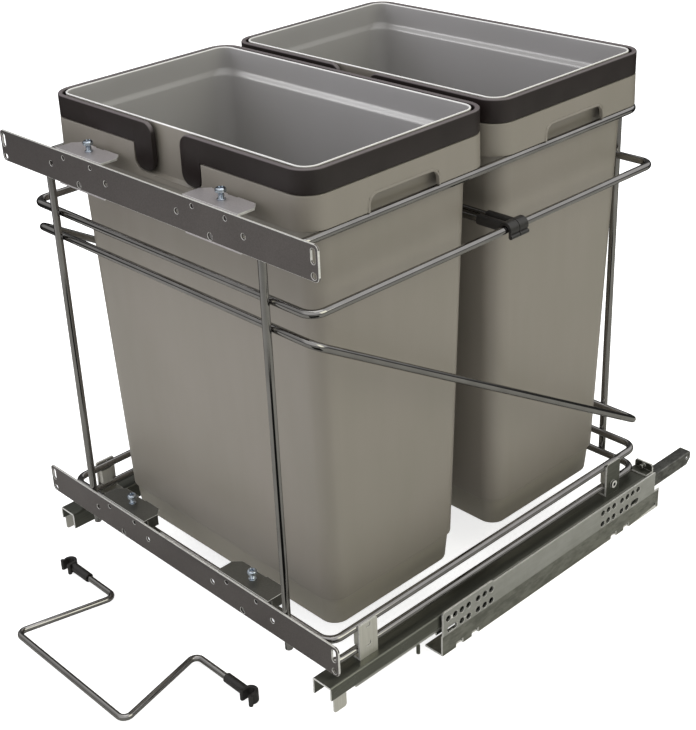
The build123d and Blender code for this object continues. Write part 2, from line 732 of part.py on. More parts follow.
def divider_wire(span_half):
    """Hat-shaped wire in the XZ plane, hanging from arms on the line z = 0."""
    arm_bend = divider_bend_half_x
    arm_end = span_half - clip_bore_radius - clip_wall
    points = [
        (-arm_end, 0, 0),
        (-arm_bend, 0, 0),
        (-arm_bend - divider_splay, 0, -divider_leg),
        (arm_bend + divider_splay, 0, -divider_leg),
        (arm_bend, 0, 0),
        (arm_end, 0, 0),
    ]
    path = FilletPolyline(*points, radius=divider_bend)
    section = Plane(origin=path @ 0, z_dir=path % 0) * Circle(divider_wire_radius)
    return sweep(section, path=path)


def divider_clip(span_half):
    """Snap clip on the right-hand arm: a sleeve over the wire and a C-shaped head open downwards."""
    along_y = Plane(origin=(span_half, clip_length / 2, 0), x_dir=(1, 0, 0), z_dir=(0, -1, 0))
    head = Circle(clip_head_radius) - Circle(clip_bore_radius)
    head -= Pos(0, -clip_head_radius) * Rectangle(clip_mouth, 2 * clip_head_radius)
    for side in (-1, 1):
        height = -(clip_bore_radius + clip_wall / 2)
        head += Pos(side * (clip_mouth / 2 + clip_lip_radius), height) * Circle(clip_lip_radius)
    shape = extrude(along_y * head, clip_length)
    sleeve_end = span_half - clip_bore_radius - clip_wall / 2
    sleeve = rod(clip_sleeve_radius, (sleeve_end - clip_sleeve_length, 0, 0), (sleeve_end, 0, 0))
    shape += sleeve
    shape -= rod(clip_bore_radius, (span_half, -clip_length, 0), (span_half, clip_length, 0))
    inner_end = span_half - clip_bore_radius - clip_wall
    return shape - rod(divider_wire_radius, (sleeve_end - clip_sleeve_length - 1, 0, 0), (inner_end, 0, 0))


# ---------------------------------------------------------------- assembly

nodes = {}


def add_pair(name, part):
    for side, piece in both_sides(part).items():
        nodes[f"{name}_{side}"] = piece


add_pair("cabinet_bracket", cabinet_bracket())
add_pair("cabinet_rail", cabinet_rail())
add_pair("middle_member", middle_member())
add_pair("middle_pin", middle_pin())

lower_level = rail_top_z + roller_gap + lower_roller_radius
upper_level = middle_top_z + roller_gap + upper_roller_radius
add_pair("lower_cage", roller_cage(lower_cage_front_y, lower_cage_length, lower_level, lower_roller_radius))
add_pair("upper_cage", roller_cage(upper_cage_front_y, upper_cage_length, upper_level, upper_roller_radius))
add_pair("lower_rollers", Compound(rollers(lower_cage_front_y, lower_cage_length, lower_level, lower_roller_radius)))
add_pair("upper_rollers", Compound(rollers(upper_cage_front_y, upper_cage_length, upper_level, upper_roller_radius)))

add_pair("drawer_member", drawer_member())
add_pair("rear_hook", rear_hook())
add_pair("front_hook", front_hook())
add_pair("front_base_plate", base_plate(base_plate_front_y, False))
add_pair("rear_base_plate", base_plate(base_plate_rear_y, True))
spacers = [spacer_block(base_plate_front_y), spacer_block(base_plate_rear_y)]
nodes["spacer_blocks"] = Compound(spacers + [mirror(piece, about=Plane.YZ) for piece in spacers])

nodes["lower_base_ring"] = wire_loop(
    hoop_half_x, (hoop_front_y, lower_ring_z), (hoop_rear_y, lower_ring_z), base_ring_corner
)
nodes["upper_base_ring"] = wire_loop(
    hoop_half_x, (hoop_front_y, upper_ring_z), (hoop_rear_y, upper_ring_z), base_ring_corner
)
nodes["tilted_hoop"] = wire_loop(
    hoop_half_x, (hoop_front_y, tilted_front_z), (hoop_rear_y, tilted_rear_z), hoop_corner
)
nodes["middle_hoop"] = wire_loop(hoop_half_x, (hoop_front_y, middle_hoop_z), (hoop_rear_y, middle_hoop_z), hoop_corner)
nodes["top_support_wire"] = wire_loop(
    top_wire_half_x, (hoop_front_y, top_wire_z), (top_wire_rear_y, top_wire_z), top_wire_corner
)
add_pair("front_post", front_post(post_x))
add_pair("rear_post", rear_post(post_x))

screws = []
nuts = []
for level, plate_z, wire_z in (("upper", upper_plate_z, top_wire_z), ("lower", lower_plate_z, upper_ring_z)):
    nodes[f"{level}_door_plate"] = door_plate(plate_z)
    add_pair(f"{level}_door_bracket", door_bracket(group_x, plate_z, wire_z, level == "lower"))
    for x in (-group_x, group_x):
        screws.append(adjusting_screw(x, plate_z, wire_z))
        nuts.append(nut_block(x, plate_z, wire_z))
nodes["adjusting_screws"] = Compound(screws)
nodes["nut_blocks"] = Compound(nuts)

for place, centre_y in zip(("front", "rear"), bin_centres_y):
    nodes[f"{place}_bin"] = waste_bin(centre_y)
    nodes[f"{place}_bag_ring"] = bag_ring(centre_y)

mounted = Pos(0, mounted_divider_y, middle_hoop_z)
second = Pos(0, second_divider_y, middle_hoop_z)
loose = Pos(loose_divider_x, loose_divider_y, loose_divider_z) * Rot(-90, 0, 0)
dividers = (("mounted", mounted, hoop_half_x), ("second", second, hoop_half_x), ("loose", loose, loose_span_half_x))
for name, place, span_half in dividers:
    nodes[f"{name}_divider_wire"] = place * divider_wire(span_half)
    for side, clip in both_sides(divider_clip(span_half)).items():
        nodes[f"{name}_clip_{side}"] = place * clip

os.makedirs("parts", exist_ok=True)
to_origin = Pos(0, -origin_y, 0)
for name, part in nodes.items():
    export_step(to_origin * part, f"parts/{name}.step")
print("nodes", len(nodes))
print("origin y", origin_y)
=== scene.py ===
import json
import math

import bmesh
import bpy
import numpy as np
from mathutils import Matrix, Vector

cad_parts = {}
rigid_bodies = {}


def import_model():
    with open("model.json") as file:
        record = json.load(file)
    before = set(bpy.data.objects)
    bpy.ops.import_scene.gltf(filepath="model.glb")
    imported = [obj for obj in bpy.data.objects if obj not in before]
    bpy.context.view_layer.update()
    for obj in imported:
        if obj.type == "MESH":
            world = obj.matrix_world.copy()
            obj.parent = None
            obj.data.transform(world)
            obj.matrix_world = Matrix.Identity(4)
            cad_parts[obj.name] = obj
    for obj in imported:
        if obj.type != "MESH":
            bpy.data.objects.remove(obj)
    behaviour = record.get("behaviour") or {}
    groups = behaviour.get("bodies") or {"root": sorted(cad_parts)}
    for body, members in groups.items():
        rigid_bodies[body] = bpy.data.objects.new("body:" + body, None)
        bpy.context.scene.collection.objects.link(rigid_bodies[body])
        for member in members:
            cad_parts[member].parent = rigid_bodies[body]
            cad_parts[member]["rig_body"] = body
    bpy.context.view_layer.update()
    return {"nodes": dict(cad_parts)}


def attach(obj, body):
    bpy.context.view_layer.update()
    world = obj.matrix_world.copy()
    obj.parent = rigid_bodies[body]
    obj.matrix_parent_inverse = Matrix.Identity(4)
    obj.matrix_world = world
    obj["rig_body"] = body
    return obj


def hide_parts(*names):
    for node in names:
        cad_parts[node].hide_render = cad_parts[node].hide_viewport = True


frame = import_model()
cadNodes = frame["nodes"]
mm = 0.001
plateFaceY = -201.7  # mm, front face of the door plates; depths below are counted from it
print("frame loaded,", len(cadNodes), "CAD nodes")


# sRGB hex to linear light: each channel goes back through the sRGB curve
def hexColour(code):
    channels = [int(code[start:start + 2], 16) / 255 for start in (1, 3, 5)]
    linear = [c / 12.92 if c <= 0.04045 else ((c + 0.055) / 1.055) ** 2.4 for c in channels]
    return (*linear, 1.0)


# one node with its settings and links; a name that is a socket sets the socket, any other sets the node
def addNode(tree, kind, settings={}, links={}):
    node = tree.nodes.new(kind)
    for name, value in settings.items():
        if isinstance(name, int) or name in node.inputs:
            node.inputs[name].default_value = value
        else:
            setattr(node, name, value)
    for name, socket in links.items():
        tree.links.new(socket, node.inputs[name])
    return node


# material with one Principled shader; `finish` adds the nodes that lead to it and returns the links of its sockets
def makeMaterial(name, shader, finish):
    material = bpy.data.materials.new(name)
    material.use_nodes = True
    tree = material.node_tree
    tree.nodes.clear()
    place = addNode(tree, "ShaderNodeTexCoord").outputs["Object"]
    principled = addNode(tree, "ShaderNodeBsdfPrincipled", shader, finish(tree, place))
    addNode(tree, "ShaderNodeOutputMaterial", {}, {"Surface": principled.outputs[0]})
    return material


# noise whose cells are `size` mm across, made longer along x, y and z by `stretch`
def grainNoise(tree, place, size, stretch=(1, 1, 1), detail=2.0, rough=0.5):
    scale = [1 / (size * mm * s) for s in stretch]
    mapped = addNode(tree, "ShaderNodeMapping", {"Scale": scale}, {"Vector": place})
    noise = addNode(tree, "ShaderNodeTexNoise", {"Scale": 1.0, "Detail": detail, "Roughness": rough},
                    {"Vector": mapped.outputs[0]})
    return noise.outputs["Fac"]


# value range of a pattern brought to the range that a socket needs
def spread(tree, value, low, high, start=0.3, end=0.7):
    ranged = addNode(tree, "ShaderNodeMapRange",
                     {"From Min": start, "From Max": end, "To Min": low, "To Max": high}, {"Value": value})
    return ranged.outputs[0]


# two colours mixed by a pattern
def blendColours(tree, share, first, second):
    mixed = addNode(tree, "ShaderNodeMixRGB", {}, {"Fac": share})
    for name, colour in (("Color1", first), ("Color2", second)):
        if isinstance(colour, str):
            mixed.inputs[name].default_value = hexColour(colour)
        else:
            tree.links.new(colour, mixed.inputs[name])
    return mixed.outputs[0]


# relief of `depth` mm
def relief(tree, height, depth):
    return addNode(tree, "ShaderNodeBump", {"Distance": depth * mm, "Strength": 1.0}, {"Height": height}).outputs[0]


binMarks = {  # heights in m between which a mark sets in
    # painted highlight: the rim's top edge is mixed towards near white
    "rim": (0.4757, 0.4764),
    "rimColour": "#e6e5e2",
    # painted light: the foot band below the step is mixed towards a lighter olive, lifting its shade
    "foot": (0.072, 0.0735),
    "footPaintedLightColour": "#8f8b7c",
    "ledge": (0.44, 0.47),
    "ledgeShadeColour": "#4c4a46",  # painted shade: the ledges' upward faces are darkened against the light from above
}


# moulded polypropylene: grey, satin, spark-eroded mould texture; the eye sees an even grey with a soft wide gloss.
# The real grain is about 0.2 mm and is drawn 1 mm so that it shows at all. `uneven` is the range of the roughness,
# and the flow stains and the grain go with it.
def binFinish(light, dark, stain, rough, uneven):
    def nodes(tree, place):
        cloud = spread(tree, grainNoise(tree, place, 90), 0, 1)
        body = blendColours(tree, cloud, light, dark)
        flow = grainNoise(tree, place, 16, (1, 1, 5), 3.0)
        body = blendColours(tree, spread(tree, flow, 0, 2.3 * uneven), body, stain)
        height = addNode(tree, "ShaderNodeSeparateXYZ", {}, {0: place}).outputs["Z"]
        facing = addNode(tree, "ShaderNodeNewGeometry").outputs["Normal"]
        up = addNode(tree, "ShaderNodeSeparateXYZ", {}, {0: facing}).outputs["Z"]
        # painted shade: faces that look up at the ledge's heights are darkened
        paintedLedgeShade = addNode(tree, "ShaderNodeMath", {"operation": "MULTIPLY"},
                         {0: spread(tree, up, 0, 0.3, 0.2, 0.6), 1: spread(tree, height, 0, 1, *binMarks["ledge"])})
        body = blendColours(tree, paintedLedgeShade.outputs[0], body, binMarks["ledgeShadeColour"])
        # painted highlight along the rim's top edge
        body = blendColours(tree, spread(tree, height, 0, 1, *binMarks["rim"]), body, binMarks["rimColour"])
        # painted light on the foot band, lifting its shade
        body = blendColours(tree, spread(tree, height, 0.35, 0, *binMarks["foot"]), body, binMarks["footPaintedLightColour"])
        grain = grainNoise(tree, place, 1.0, detail=1.0)
        return {"Base Color": body, "Roughness": spread(tree, flow, rough, rough + uneven),
                "Normal": relief(tree, grain, 0.33 * uneven)}
    return nodes


# moulded ABS: dark brown-grey, satin, closer grain than the bins, with a painted highlight where it faces up
def ringFinish(tree, place):
    cloud = spread(tree, grainNoise(tree, place, 40), 0, 1)
    body = blendColours(tree, cloud, "#241d1c", "#201a18")
    facing = addNode(tree, "ShaderNodeNewGeometry").outputs["Normal"]
    up = addNode(tree, "ShaderNodeSeparateXYZ", {}, {0: facing}).outputs["Z"]
    # painted highlight: faces that look up are mixed towards a lighter grey
    body = blendColours(tree, spread(tree, up, 0, 1, 0.2, 0.75), body, "#665f60")
    grain = grainNoise(tree, place, 0.8, detail=1.0)
    return {"Base Color": body, "Roughness": spread(tree, cloud, 0.40, 0.50), "Normal": relief(tree, grain, 0.015)}


# chrome plate on drawn wire: dark mirror with faint draw lines and a slightly duller haze in patches
def wireFinish(tree, place):
    haze = grainNoise(tree, place, 30, detail=3.0)
    fine = grainNoise(tree, place, 1.5)
    body = blendColours(tree, spread(tree, haze, 0, 1), "#9a9896", "#8a8886")
    return {"Base Color": body, "Roughness": spread(tree, haze, 0.06, 0.12), "Normal": relief(tree, fine, 0.004)}


# metallic lacquer on rolled steel: aluminium flake in a tinted coat. The flake is 0.05 mm and is drawn 0.7 mm, so
# that it shows.
def lacquerFinish(dark, light, low, high):
    def nodes(tree, place):
        scaled = addNode(tree, "ShaderNodeMapping", {"Scale": [1400] * 3}, {"Vector": place})  # flakes to the metre
        flake = addNode(tree, "ShaderNodeTexVoronoi", {"Scale": 1.0}, {"Vector": scaled.outputs[0]})
        grey = addNode(tree, "ShaderNodeSeparateColor", {}, {0: flake.outputs["Color"]}).outputs[0]
        body = blendColours(tree, spread(tree, grey, 0, 1, 0, 1), dark, light)
        cloud = grainNoise(tree, place, 35, detail=3.0)
        return {"Base Color": body, "Roughness": spread(tree, cloud, low, high),
                "Normal": relief(tree, grainNoise(tree, place, 1.2), 0.01)}
    return nodes


# dark coated roll-formed steel: rolling lines run along the runner, with rubbed lighter streaks
def runnerFinish(tree, place):
    lines = grainNoise(tree, place, 0.9, (1, 120, 1), 3.0)
    patches = grainNoise(tree, place, 22, (1, 3, 1), 4.0)
    body = blendColours(tree, spread(tree, patches, 0, 1), "#6b6c64", "#5c5d55")
    body = blendColours(tree, spread(tree, lines, 0, 0.35, 0.5, 0.8), body, "#8b8c82")
    return {"Base Color": body, "Roughness": spread(tree, patches, 0.26, 0.38), "Normal": relief(tree, lines, 0.006)}


# the same zinc-plated sheet, drawn darker as painted shade, with its own mottled patches
def railFinish(tree, place):
    patches = grainNoise(tree, place, 5, (1, 2, 1), 5.0, 0.7)
    # painted shade: darker greys than the bracket's zinc
    body = blendColours(tree, spread(tree, patches, 0, 1, 0.4, 0.6), "#757570", "#52524d")
    return {"Base Color": body, "Roughness": spread(tree, patches, 0.25, 0.4)}


flangeCrease = (0.0205, 0.0225)  # m, height over which a bracket's web goes over into its flange


# zinc-plated roll-formed steel: pale grey with cloudy passivation patches and rolling lines along the part; below
# the crease of the flange it is mottled and painted darker as shade
def zincFinish(tree, place):
    lines = grainNoise(tree, place, 0.8, (1, 90, 1), 3.0)
    patches = grainNoise(tree, place, 14, (1, 2, 1), 5.0, 0.6)
    body = blendColours(tree, spread(tree, patches, 0, 1, 0.3, 0.75), "#c2c2be", "#aeaea8")
    body = blendColours(tree, spread(tree, lines, 0, 0.3, 0.45, 0.75), body, "#d2d2ce")
    height = addNode(tree, "ShaderNodeSeparateXYZ", {}, {0: place}).outputs["Z"]
    # painted shade below the flange's crease, over the zinc's own mottle
    shadeBelowCrease = spread(tree, height, 0.75, 0, *flangeCrease)
    mottle = grainNoise(tree, place, 6, (1, 3, 1), 6.0, 0.7)
    shadedMottle = blendColours(tree, spread(tree, mottle, 0, 1, 0.42, 0.62), "#8a8a80", "#55564b")
    body = blendColours(tree, shadeBelowCrease, body, shadedMottle)
    return {"Base Color": body, "Roughness": spread(tree, patches, 0.32, 0.42), "Normal": relief(tree, lines, 0.008)}


# bright zinc on pressed steel: fine brush lines up the piece
def brightZincFinish(tree, place):
    lines = grainNoise(tree, place, 0.7, (1, 1, 60), 3.0)
    body = blendColours(tree, spread(tree, lines, 0, 1), "#dddbd2", "#cfcdc4")
    return {"Base Color": body, "Roughness": spread(tree, lines, 0.38, 0.46), "Normal": relief(tree, lines, 0.006)}


# blue-passivated zinc on a cold-headed screw
def screwFinish(tree, place):
    spots = grainNoise(tree, place, 1.6, detail=3.0)
    body = blendColours(tree, spread(tree, spots, 0, 1), "#c3ccd6", "#a4adb8")
    return {"Base Color": body, "Roughness": spread(tree, spots, 0.12, 0.24)}


# moulded nylon: black, dull, with a faint flow pattern
def clipFinish(tree, place):
    flow = grainNoise(tree, place, 6, detail=3.0)
    body = blendColours(tree, spread(tree, flow, 0, 1), "#1d1b1a", "#242220")
    return {"Base Color": body, "Roughness": spread(tree, flow, 0.34, 0.5),
            "Normal": relief(tree, grainNoise(tree, place, 0.7), 0.02)}


# acetal: white, waxy
def cageFinish(tree, place):
    flow = grainNoise(tree, place, 12)
    body = blendColours(tree, spread(tree, flow, 0, 1), "#e6e5df", "#dcdbd3")
    return {"Base Color": body, "Roughness": spread(tree, flow, 0.3, 0.4)}


# ground steel: bright, grinding lines round the roller
def rollerFinish(tree, place):
    lines = grainNoise(tree, place, 0.3, (1, 30, 30))
    body = blendColours(tree, spread(tree, lines, 0, 1), "#c8c8c8", "#a8a8a8")
    return {"Base Color": body, "Roughness": spread(tree, lines, 0.16, 0.26)}


# sheared or bevelled edge of coated sheet: bare steel where the coat is thin, lightened further as a painted edge
# highlight
def edgeHighlightFinish(tree, place):
    wear = grainNoise(tree, place, 2.5, detail=3.0)
    # painted highlight on the edges, over the bare steel
    body = blendColours(tree, spread(tree, wear, 0, 1), "#e4e3df", "#c9c8c2")
    return {"Base Color": body, "Roughness": spread(tree, wear, 0.3, 0.45)}


finishes = {
    "bin_plastic": makeMaterial("moulded_grey_polypropylene", {"IOR": 1.49},
                                binFinish("#827c73", "#7f7a70", "#757064", 0.32, 0.06)),
    "ring_plastic": makeMaterial("moulded_dark_abs", {"IOR": 1.53, "Specular IOR Level": 0.35}, ringFinish),
    "chrome_wire": makeMaterial("chrome_plated_wire", {"Metallic": 1.0}, wireFinish),
    "door_plate_steel": makeMaterial("grey_metallic_lacquer", {"Metallic": 0.75},
                                     lacquerFinish("#5f5a58", "#686361", 0.38, 0.48)),
    "upper_bracket_steel": makeMaterial("light_metallic_lacquer", {"Metallic": 0.6},
                                        lacquerFinish("#b3aeaf", "#beb9ba", 0.34, 0.44)),
    "lower_bracket_steel": makeMaterial("dark_metallic_lacquer", {"Metallic": 0.7},
                                        lacquerFinish("#5a5954", "#64635d", 0.34, 0.44)),
    "runner_steel": makeMaterial("coated_runner_steel", {"Metallic": 0.85}, runnerFinish),
    "zinc_steel": makeMaterial("zinc_plated_rolled_steel", {"Metallic": 0.9}, zincFinish),
    "greased_rail": makeMaterial("rail_zinc_steel_painted_shade", {"Metallic": 0.85}, railFinish),
    "bright_zinc": makeMaterial("bright_zinc_plate", {"Metallic": 0.8}, brightZincFinish),
    "screw_zinc": makeMaterial("blue_zinc_screw", {"Metallic": 1.0}, screwFinish),
    "clip_plastic": makeMaterial("moulded_black_nylon", {"IOR": 1.53}, clipFinish),
    "cage_plastic": makeMaterial("white_acetal", {"IOR": 1.48, "Subsurface Weight": 0.05}, cageFinish),
    "roller_steel": makeMaterial("ground_steel", {"Metallic": 1.0}, rollerFinish),
}
# second finish of some pieces: the smooth inside of a bin, its grey painted lighter to lift the shade inside; the
# sheared edges and bevels of a pressed sheet, with a painted edge highlight
secondFinishes = {
    # painted light: the same polypropylene, smoother, drawn lighter and more neutral for the shaded inside
    "bin_plastic": makeMaterial("moulded_grey_polypropylene_inside_painted_lighter", {"IOR": 1.49},
                                binFinish("#a4a2a1", "#a09e9c", "#979590", 0.29, 0.012)),
    "sheet": makeMaterial("sheared_steel_edge_painted_highlight", {"Metallic": 0.4}, edgeHighlightFinish),
}
nodeSlot = {name: node.data.materials[0].name.split(".")[0] for name, node in cadNodes.items()}
ownFinish = {"cabinet_rail_left": "greased_rail", "cabinet_rail_right": "greased_rail",
             "middle_pin_left": "runner_steel", "middle_pin_right": "runner_steel"}
for name, node in cadNodes.items():
    node.material_slots[0].material = finishes[ownFinish.get(name, nodeSlot[name])]
print("finishes made:", len(finishes))


# quads between neighbouring points of a grid, with either direction closed on itself
def gridFaces(rows, columns, closeRows=False, closeColumns=False):
    row = np.arange(rows if closeRows else rows - 1)
    column = np.arange(columns if closeColumns else columns - 1)
    row, column = np.meshgrid(row, column, indexing="ij")
    nextRow = (row + 1) % rows
    nextColumn = (column + 1) % columns
    quads = (row * columns + column, nextRow * columns + column,
             nextRow * columns + nextColumn, row * columns + nextColumn)
    return np.stack(quads, -1).reshape(-1, 4)


# mesh piece that rides on the body of the node it stands for; points are mm, and the faces marked `inside` get
# the second finish
def makePiece(name, points, faces, standsFor, sharpAngle=35, inside=None):
    mesh = bpy.data.meshes.new(name)
    mesh.from_pydata((points.reshape(-1, 3) * mm).tolist(), [], faces.tolist())
    if inside is not None:
        mesh.polygons.foreach_set("material_index", inside.astype(np.int32))
    work = bmesh.new()
    work.from_mesh(mesh)
    bmesh.ops.remove_doubles(work, verts=work.verts, dist=0.002 * mm)
    bmesh.ops.recalc_face_normals(work, faces=work.faces)
    work.to_mesh(mesh)
    work.free()
    mesh.shade_smooth()
    mesh.set_sharp_from_angle(angle=math.radians(sharpAngle))
    piece = bpy.data.objects.new(name, mesh)
    bpy.context.scene.collection.objects.link(piece)
    mesh.materials.append(finishes[nodeSlot[standsFor]])
    if inside is not None:
        mesh.materials.append(secondFinishes[nodeSlot[standsFor]])
    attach(piece, cadNodes[standsFor]["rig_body"])
    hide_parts(standsFor)


wire = {
    "radius": 3.5,
    "dividerRadius": 3.0,
    "sides": 24,
    "cornerSteps": 12,
    "endEdge": 0.6,  # rounding of a cut end
    "endSteps": 4,
}


# path with an arc at each corner: the arc's two end radii are weighted by sin((1-t)a) and sin(ta), over sin a,
# where a is the turn and t runs from 0 to 1
def roundedPath(corners, radius, closed):
    corners = np.array(corners, float)
    if closed:
        before, middle, after = np.roll(corners, 1, 0), corners, np.roll(corners, -1, 0)
    else:
        before, middle, after = corners[:-2], corners[1:-1], corners[2:]
    back = before - middle
    back /= np.linalg.norm(back, axis=1, keepdims=True)
    ahead = after - middle
    ahead /= np.linalg.norm(ahead, axis=1, keepdims=True)
    opening = np.arccos(np.sum(back * ahead, 1))[:, None]
    reach = radius / np.tan(opening / 2)
    halfway = (back + ahead) / np.linalg.norm(back + ahead, axis=1, keepdims=True)
    centre = middle + halfway * radius / np.sin(opening / 2)
    turn = (np.pi - opening)[:, None]
    share = np.linspace(0, 1, wire["cornerSteps"])[None, :, None]
    first = (middle + back * reach - centre)[:, None]
    last = (middle + ahead * reach - centre)[:, None]
    arcs = centre[:, None] + (np.sin((1 - share) * turn) * first + np.sin(share * turn) * last) / np.sin(turn)
    points = arcs.reshape(-1, 3)
    return points if closed else np.vstack((corners[:1], points, corners[-1:]))


# tube: at each point of a flat path a circle stands square to the path, one axis being the path plane's normal.
# An open tube ends in a quarter-round edge and a closed face.
def wireTube(name, path, normal, radius, closed, standsFor):
    radii = np.full(len(path), radius)
    if not closed:
        edge = wire["endEdge"]
        steps = wire["endSteps"]
        bend = np.linspace(0, np.pi / 2, steps)
        inset = edge * (1 - np.sin(bend))
        narrow = radius - edge + edge * np.cos(bend)
        headway = (path[1] - path[0]) / np.linalg.norm(path[1] - path[0])
        tailway = (path[-2] - path[-1]) / np.linalg.norm(path[-2] - path[-1])
        head = path[0] + headway * inset[::-1, None]
        tail = path[-1] + tailway * inset[:, None]
        path = np.vstack((head[:1], head, path[1:-1], tail, tail[-1:]))
        radii = np.concatenate(([0.0], narrow[::-1], radii[1:-1], narrow, [0.0]))
    along = np.roll(path, -1, 0) - np.roll(path, 1, 0)
    if not closed:
        along[:steps + 1] = headway
        along[-steps - 1:] = -tailway
    along /= np.linalg.norm(along, axis=1, keepdims=True)
    normal = np.array(normal, float)
    across = np.cross(along, normal)
    angle = np.linspace(0, 2 * np.pi, wire["sides"], endpoint=False)[None, :, None]
    circle = np.cos(angle) * across[:, None] + np.sin(angle) * normal
    points = path[:, None] + radii[:, None, None] * circle
    faces = gridFaces(len(path), wire["sides"], closed, True)
    makePiece(name, points, faces, standsFor)


# closed loops of the frame, front to rear: half width, front depth and height, rear depth and height, corner
loops = {
    "lower_base_ring": (185.0, 12.5, 52.9, 437.3, 52.9, 13.0),
    "upper_base_ring": (185.0, 12.5, 75.7, 437.3, 75.7, 13.0),
    "tilted_hoop": (185.0, 12.5, 351.8, 437.3, 106.0, 12.0),
    "middle_hoop": (185.0, 12.5, 375.3, 437.3, 375.3, 12.0),
    "top_support_wire": (164.8, 12.5, 424.5, 441.5, 424.5, 17.5),
}
for name, (half, frontY, frontZ, rearY, rearZ, corner) in loops.items():
    corners = [(half, frontY + plateFaceY, frontZ), (half, rearY + plateFaceY, rearZ),
               (-half, rearY + plateFaceY, rearZ), (-half, frontY + plateFaceY, frontZ)]
    slope = math.atan2(rearZ - frontZ, rearY - frontY)
    wireTube(name + "_wire", roundedPath(corners, corner, True), (0, -math.sin(slope), math.cos(slope)),
             wire["radius"], True, name)

postHalf = 140.5
posts = {"front": (5.5, 50.0, 433.0), "rear": (444.3, 49.4, 421.0)}  # depth, foot and head height
for place, (depth, foot, head) in posts.items():
    for side, sign in (("left", -1), ("right", 1)):
        # the point in between keeps the tube's rounded ends apart
        ends = np.array([(sign * postHalf, depth + plateFaceY, z) for z in (foot, foot + 20, head)])
        wireTube(f"{place}_post_wire_{side}", ends, (0, 1, 0), wire["radius"], False, f"{place}_post_{side}")

divider = {
    "armBend": 61.8,  # from the middle
    "splay": 23.0,
    "leg": 96.6,
    "bend": 7.0,
    "clipDepth": 6.8,  # arms end this far from the clips' centres
    "half": {"mounted": 185.0, "second": 185.0, "loose": 137.7},
    "depth": {"mounted": 246.6, "second": 235.1},
    "loosePlace": (-17.5, -24.0, 5.5),  # of its middle: across, depth and height
}
for place, half in divider["half"].items():
    armBend = divider["armBend"]
    armEnd = half - divider["clipDepth"]
    flat = np.array([(-armEnd, 0), (-armBend, 0), (-armBend - divider["splay"], -divider["leg"]),
                     (armBend + divider["splay"], -divider["leg"]), (armBend, 0), (armEnd, 0)])
    if place in divider["depth"]:
        depth = divider["depth"][place] + plateFaceY
        corners = np.column_stack((flat[:, 0], np.full(6, depth), flat[:, 1] + loops["middle_hoop"][2]))
        normal = (0, 1, 0)
    else:
        across, depth, height = divider["loosePlace"]
        corners = np.column_stack((flat[:, 0] + across, flat[:, 1] + depth + plateFaceY, np.full(6, height)))
        normal = (0, 0, 1)
    wireTube(place + "_divider_bent_wire", roundedPath(corners, divider["bend"], False), normal,
             wire["dividerRadius"], False, place + "_divider_wire")
print("wires swept:", len(loops) + 2 * len(posts) + len(divider["half"]))

cornerColumns = 13  # points round one corner of a plan


# plan of a rounded rectangle as columns: each column is a share of the way along the straight core (-1 to 1 in x
# and y), an angle for the corner radius, and a fixed place on the side where the piece has a cut-out
def planColumns(sideStops, frontStops):
    corner = np.linspace(0, np.pi / 2, cornerColumns)
    parts = []
    for quarter, (coreX, coreY) in enumerate(((1, 1), (-1, 1), (-1, -1), (1, -1))):
        turn = np.column_stack((np.full(len(corner), coreX), np.full(len(corner), coreY),
                                corner + quarter * np.pi / 2, np.full(len(corner), np.nan)))
        stops = (frontStops, sideStops)[quarter % 2]
        stops = np.array(stops, float) * (-1 if quarter in (0, 1) else 1)
        angle = (quarter + 1) * np.pi / 2
        run = np.column_stack((np.full(len(stops), coreX if quarter % 2 else 0.0),
                               np.full(len(stops), 0.0 if quarter % 2 else coreY),
                               np.full(len(stops), angle), stops))
        parts += [turn, run]
    return np.vstack(parts)


# x and y of every column at each level: the core rectangle is the outline less its corner radius,
# and the point stands one radius from it at the column's angle; all in mm
def planPoints(columns, halfX, halfY, radius, centreY):
    coreX, coreY, angle, fixed = columns.T
    halfX, halfY, radius = (np.asarray(value, float)[..., None] if np.ndim(value) < 2 else value
                            for value in (halfX, halfY, radius))
    x = coreX * (halfX - radius) + radius * np.cos(angle)
    y = coreY * (halfY - radius) + radius * np.sin(angle)
    onSide = ~np.isnan(fixed) & (np.abs(coreX) == 1)
    onFront = ~np.isnan(fixed) & (np.abs(coreY) == 1)
    y = np.where(onSide, fixed, y)
    x = np.where(onFront, fixed, x)
    return x, y + centreY


bins = {
    "centres": {"front": 131.6 + plateFaceY, "rear": 343.6 + plateFaceY},
    "halfX": 166.5,
    "halfY": 102.0,
    "rimZ": 477.0,
    "ledgeZ": 454.0,
    "collarZ": 428.0,
    "draft": 0.5,  # the collar's half width is this much more at its bottom
    "corner": 21.0,
    "rebateZ": 456.4,  # above it the wall is set back for the bag ring
    "rimHalfX": 158.8,
    "rimWall": 1.7,
    "rimDraft": 0.01,
    "notchHalf": 44.0,  # the rebate comes lower in the front, for the ring's hooks
    "notchZ": 433.3,
    "notchCorner": 10.0,
    "wall": 2.5,
    "bodyCorner": 18.0,
    "bodyInset": (8.5, 11.0),  # of the body's top inside the collar, across and in depth
    "bodyTaper": (9.0, 10.5),
    "footZ": 73.0,
    "footInset": 2.5,
    "footDraft": 2.0,
    "bottomZ": 44.0,
    "footEdge": 2.6,
    "skirtEdge": 0.6,
    "panel": 2.0,  # depth of the recess in the underside
    "floorPlay": 0.1,  # the floor's inner face stands this much higher than a plain wall would
    "ledgeReach": 3.3,  # height above and below the ledge over which the inside changes size
    "slotHalf": 38.5,
    "slotHeight": 13.0,
    "slotCorner": 9.0,
    "lipWidth": 1.8,
    "lipHeight": 1.0,
    "lipEdge": 0.4,
    "skirtParts": 29,  # of the height from the skirt's edge to the rebate
    "skirtRows": [0.3, 0.8, *np.arange(1.5, 18.6, 0.75), 20, 22, 23],  # rows of points, in these parts
    "innerLevels": (444.0, 420, 380, 330, 270, 210, 150, 110, 80),
}


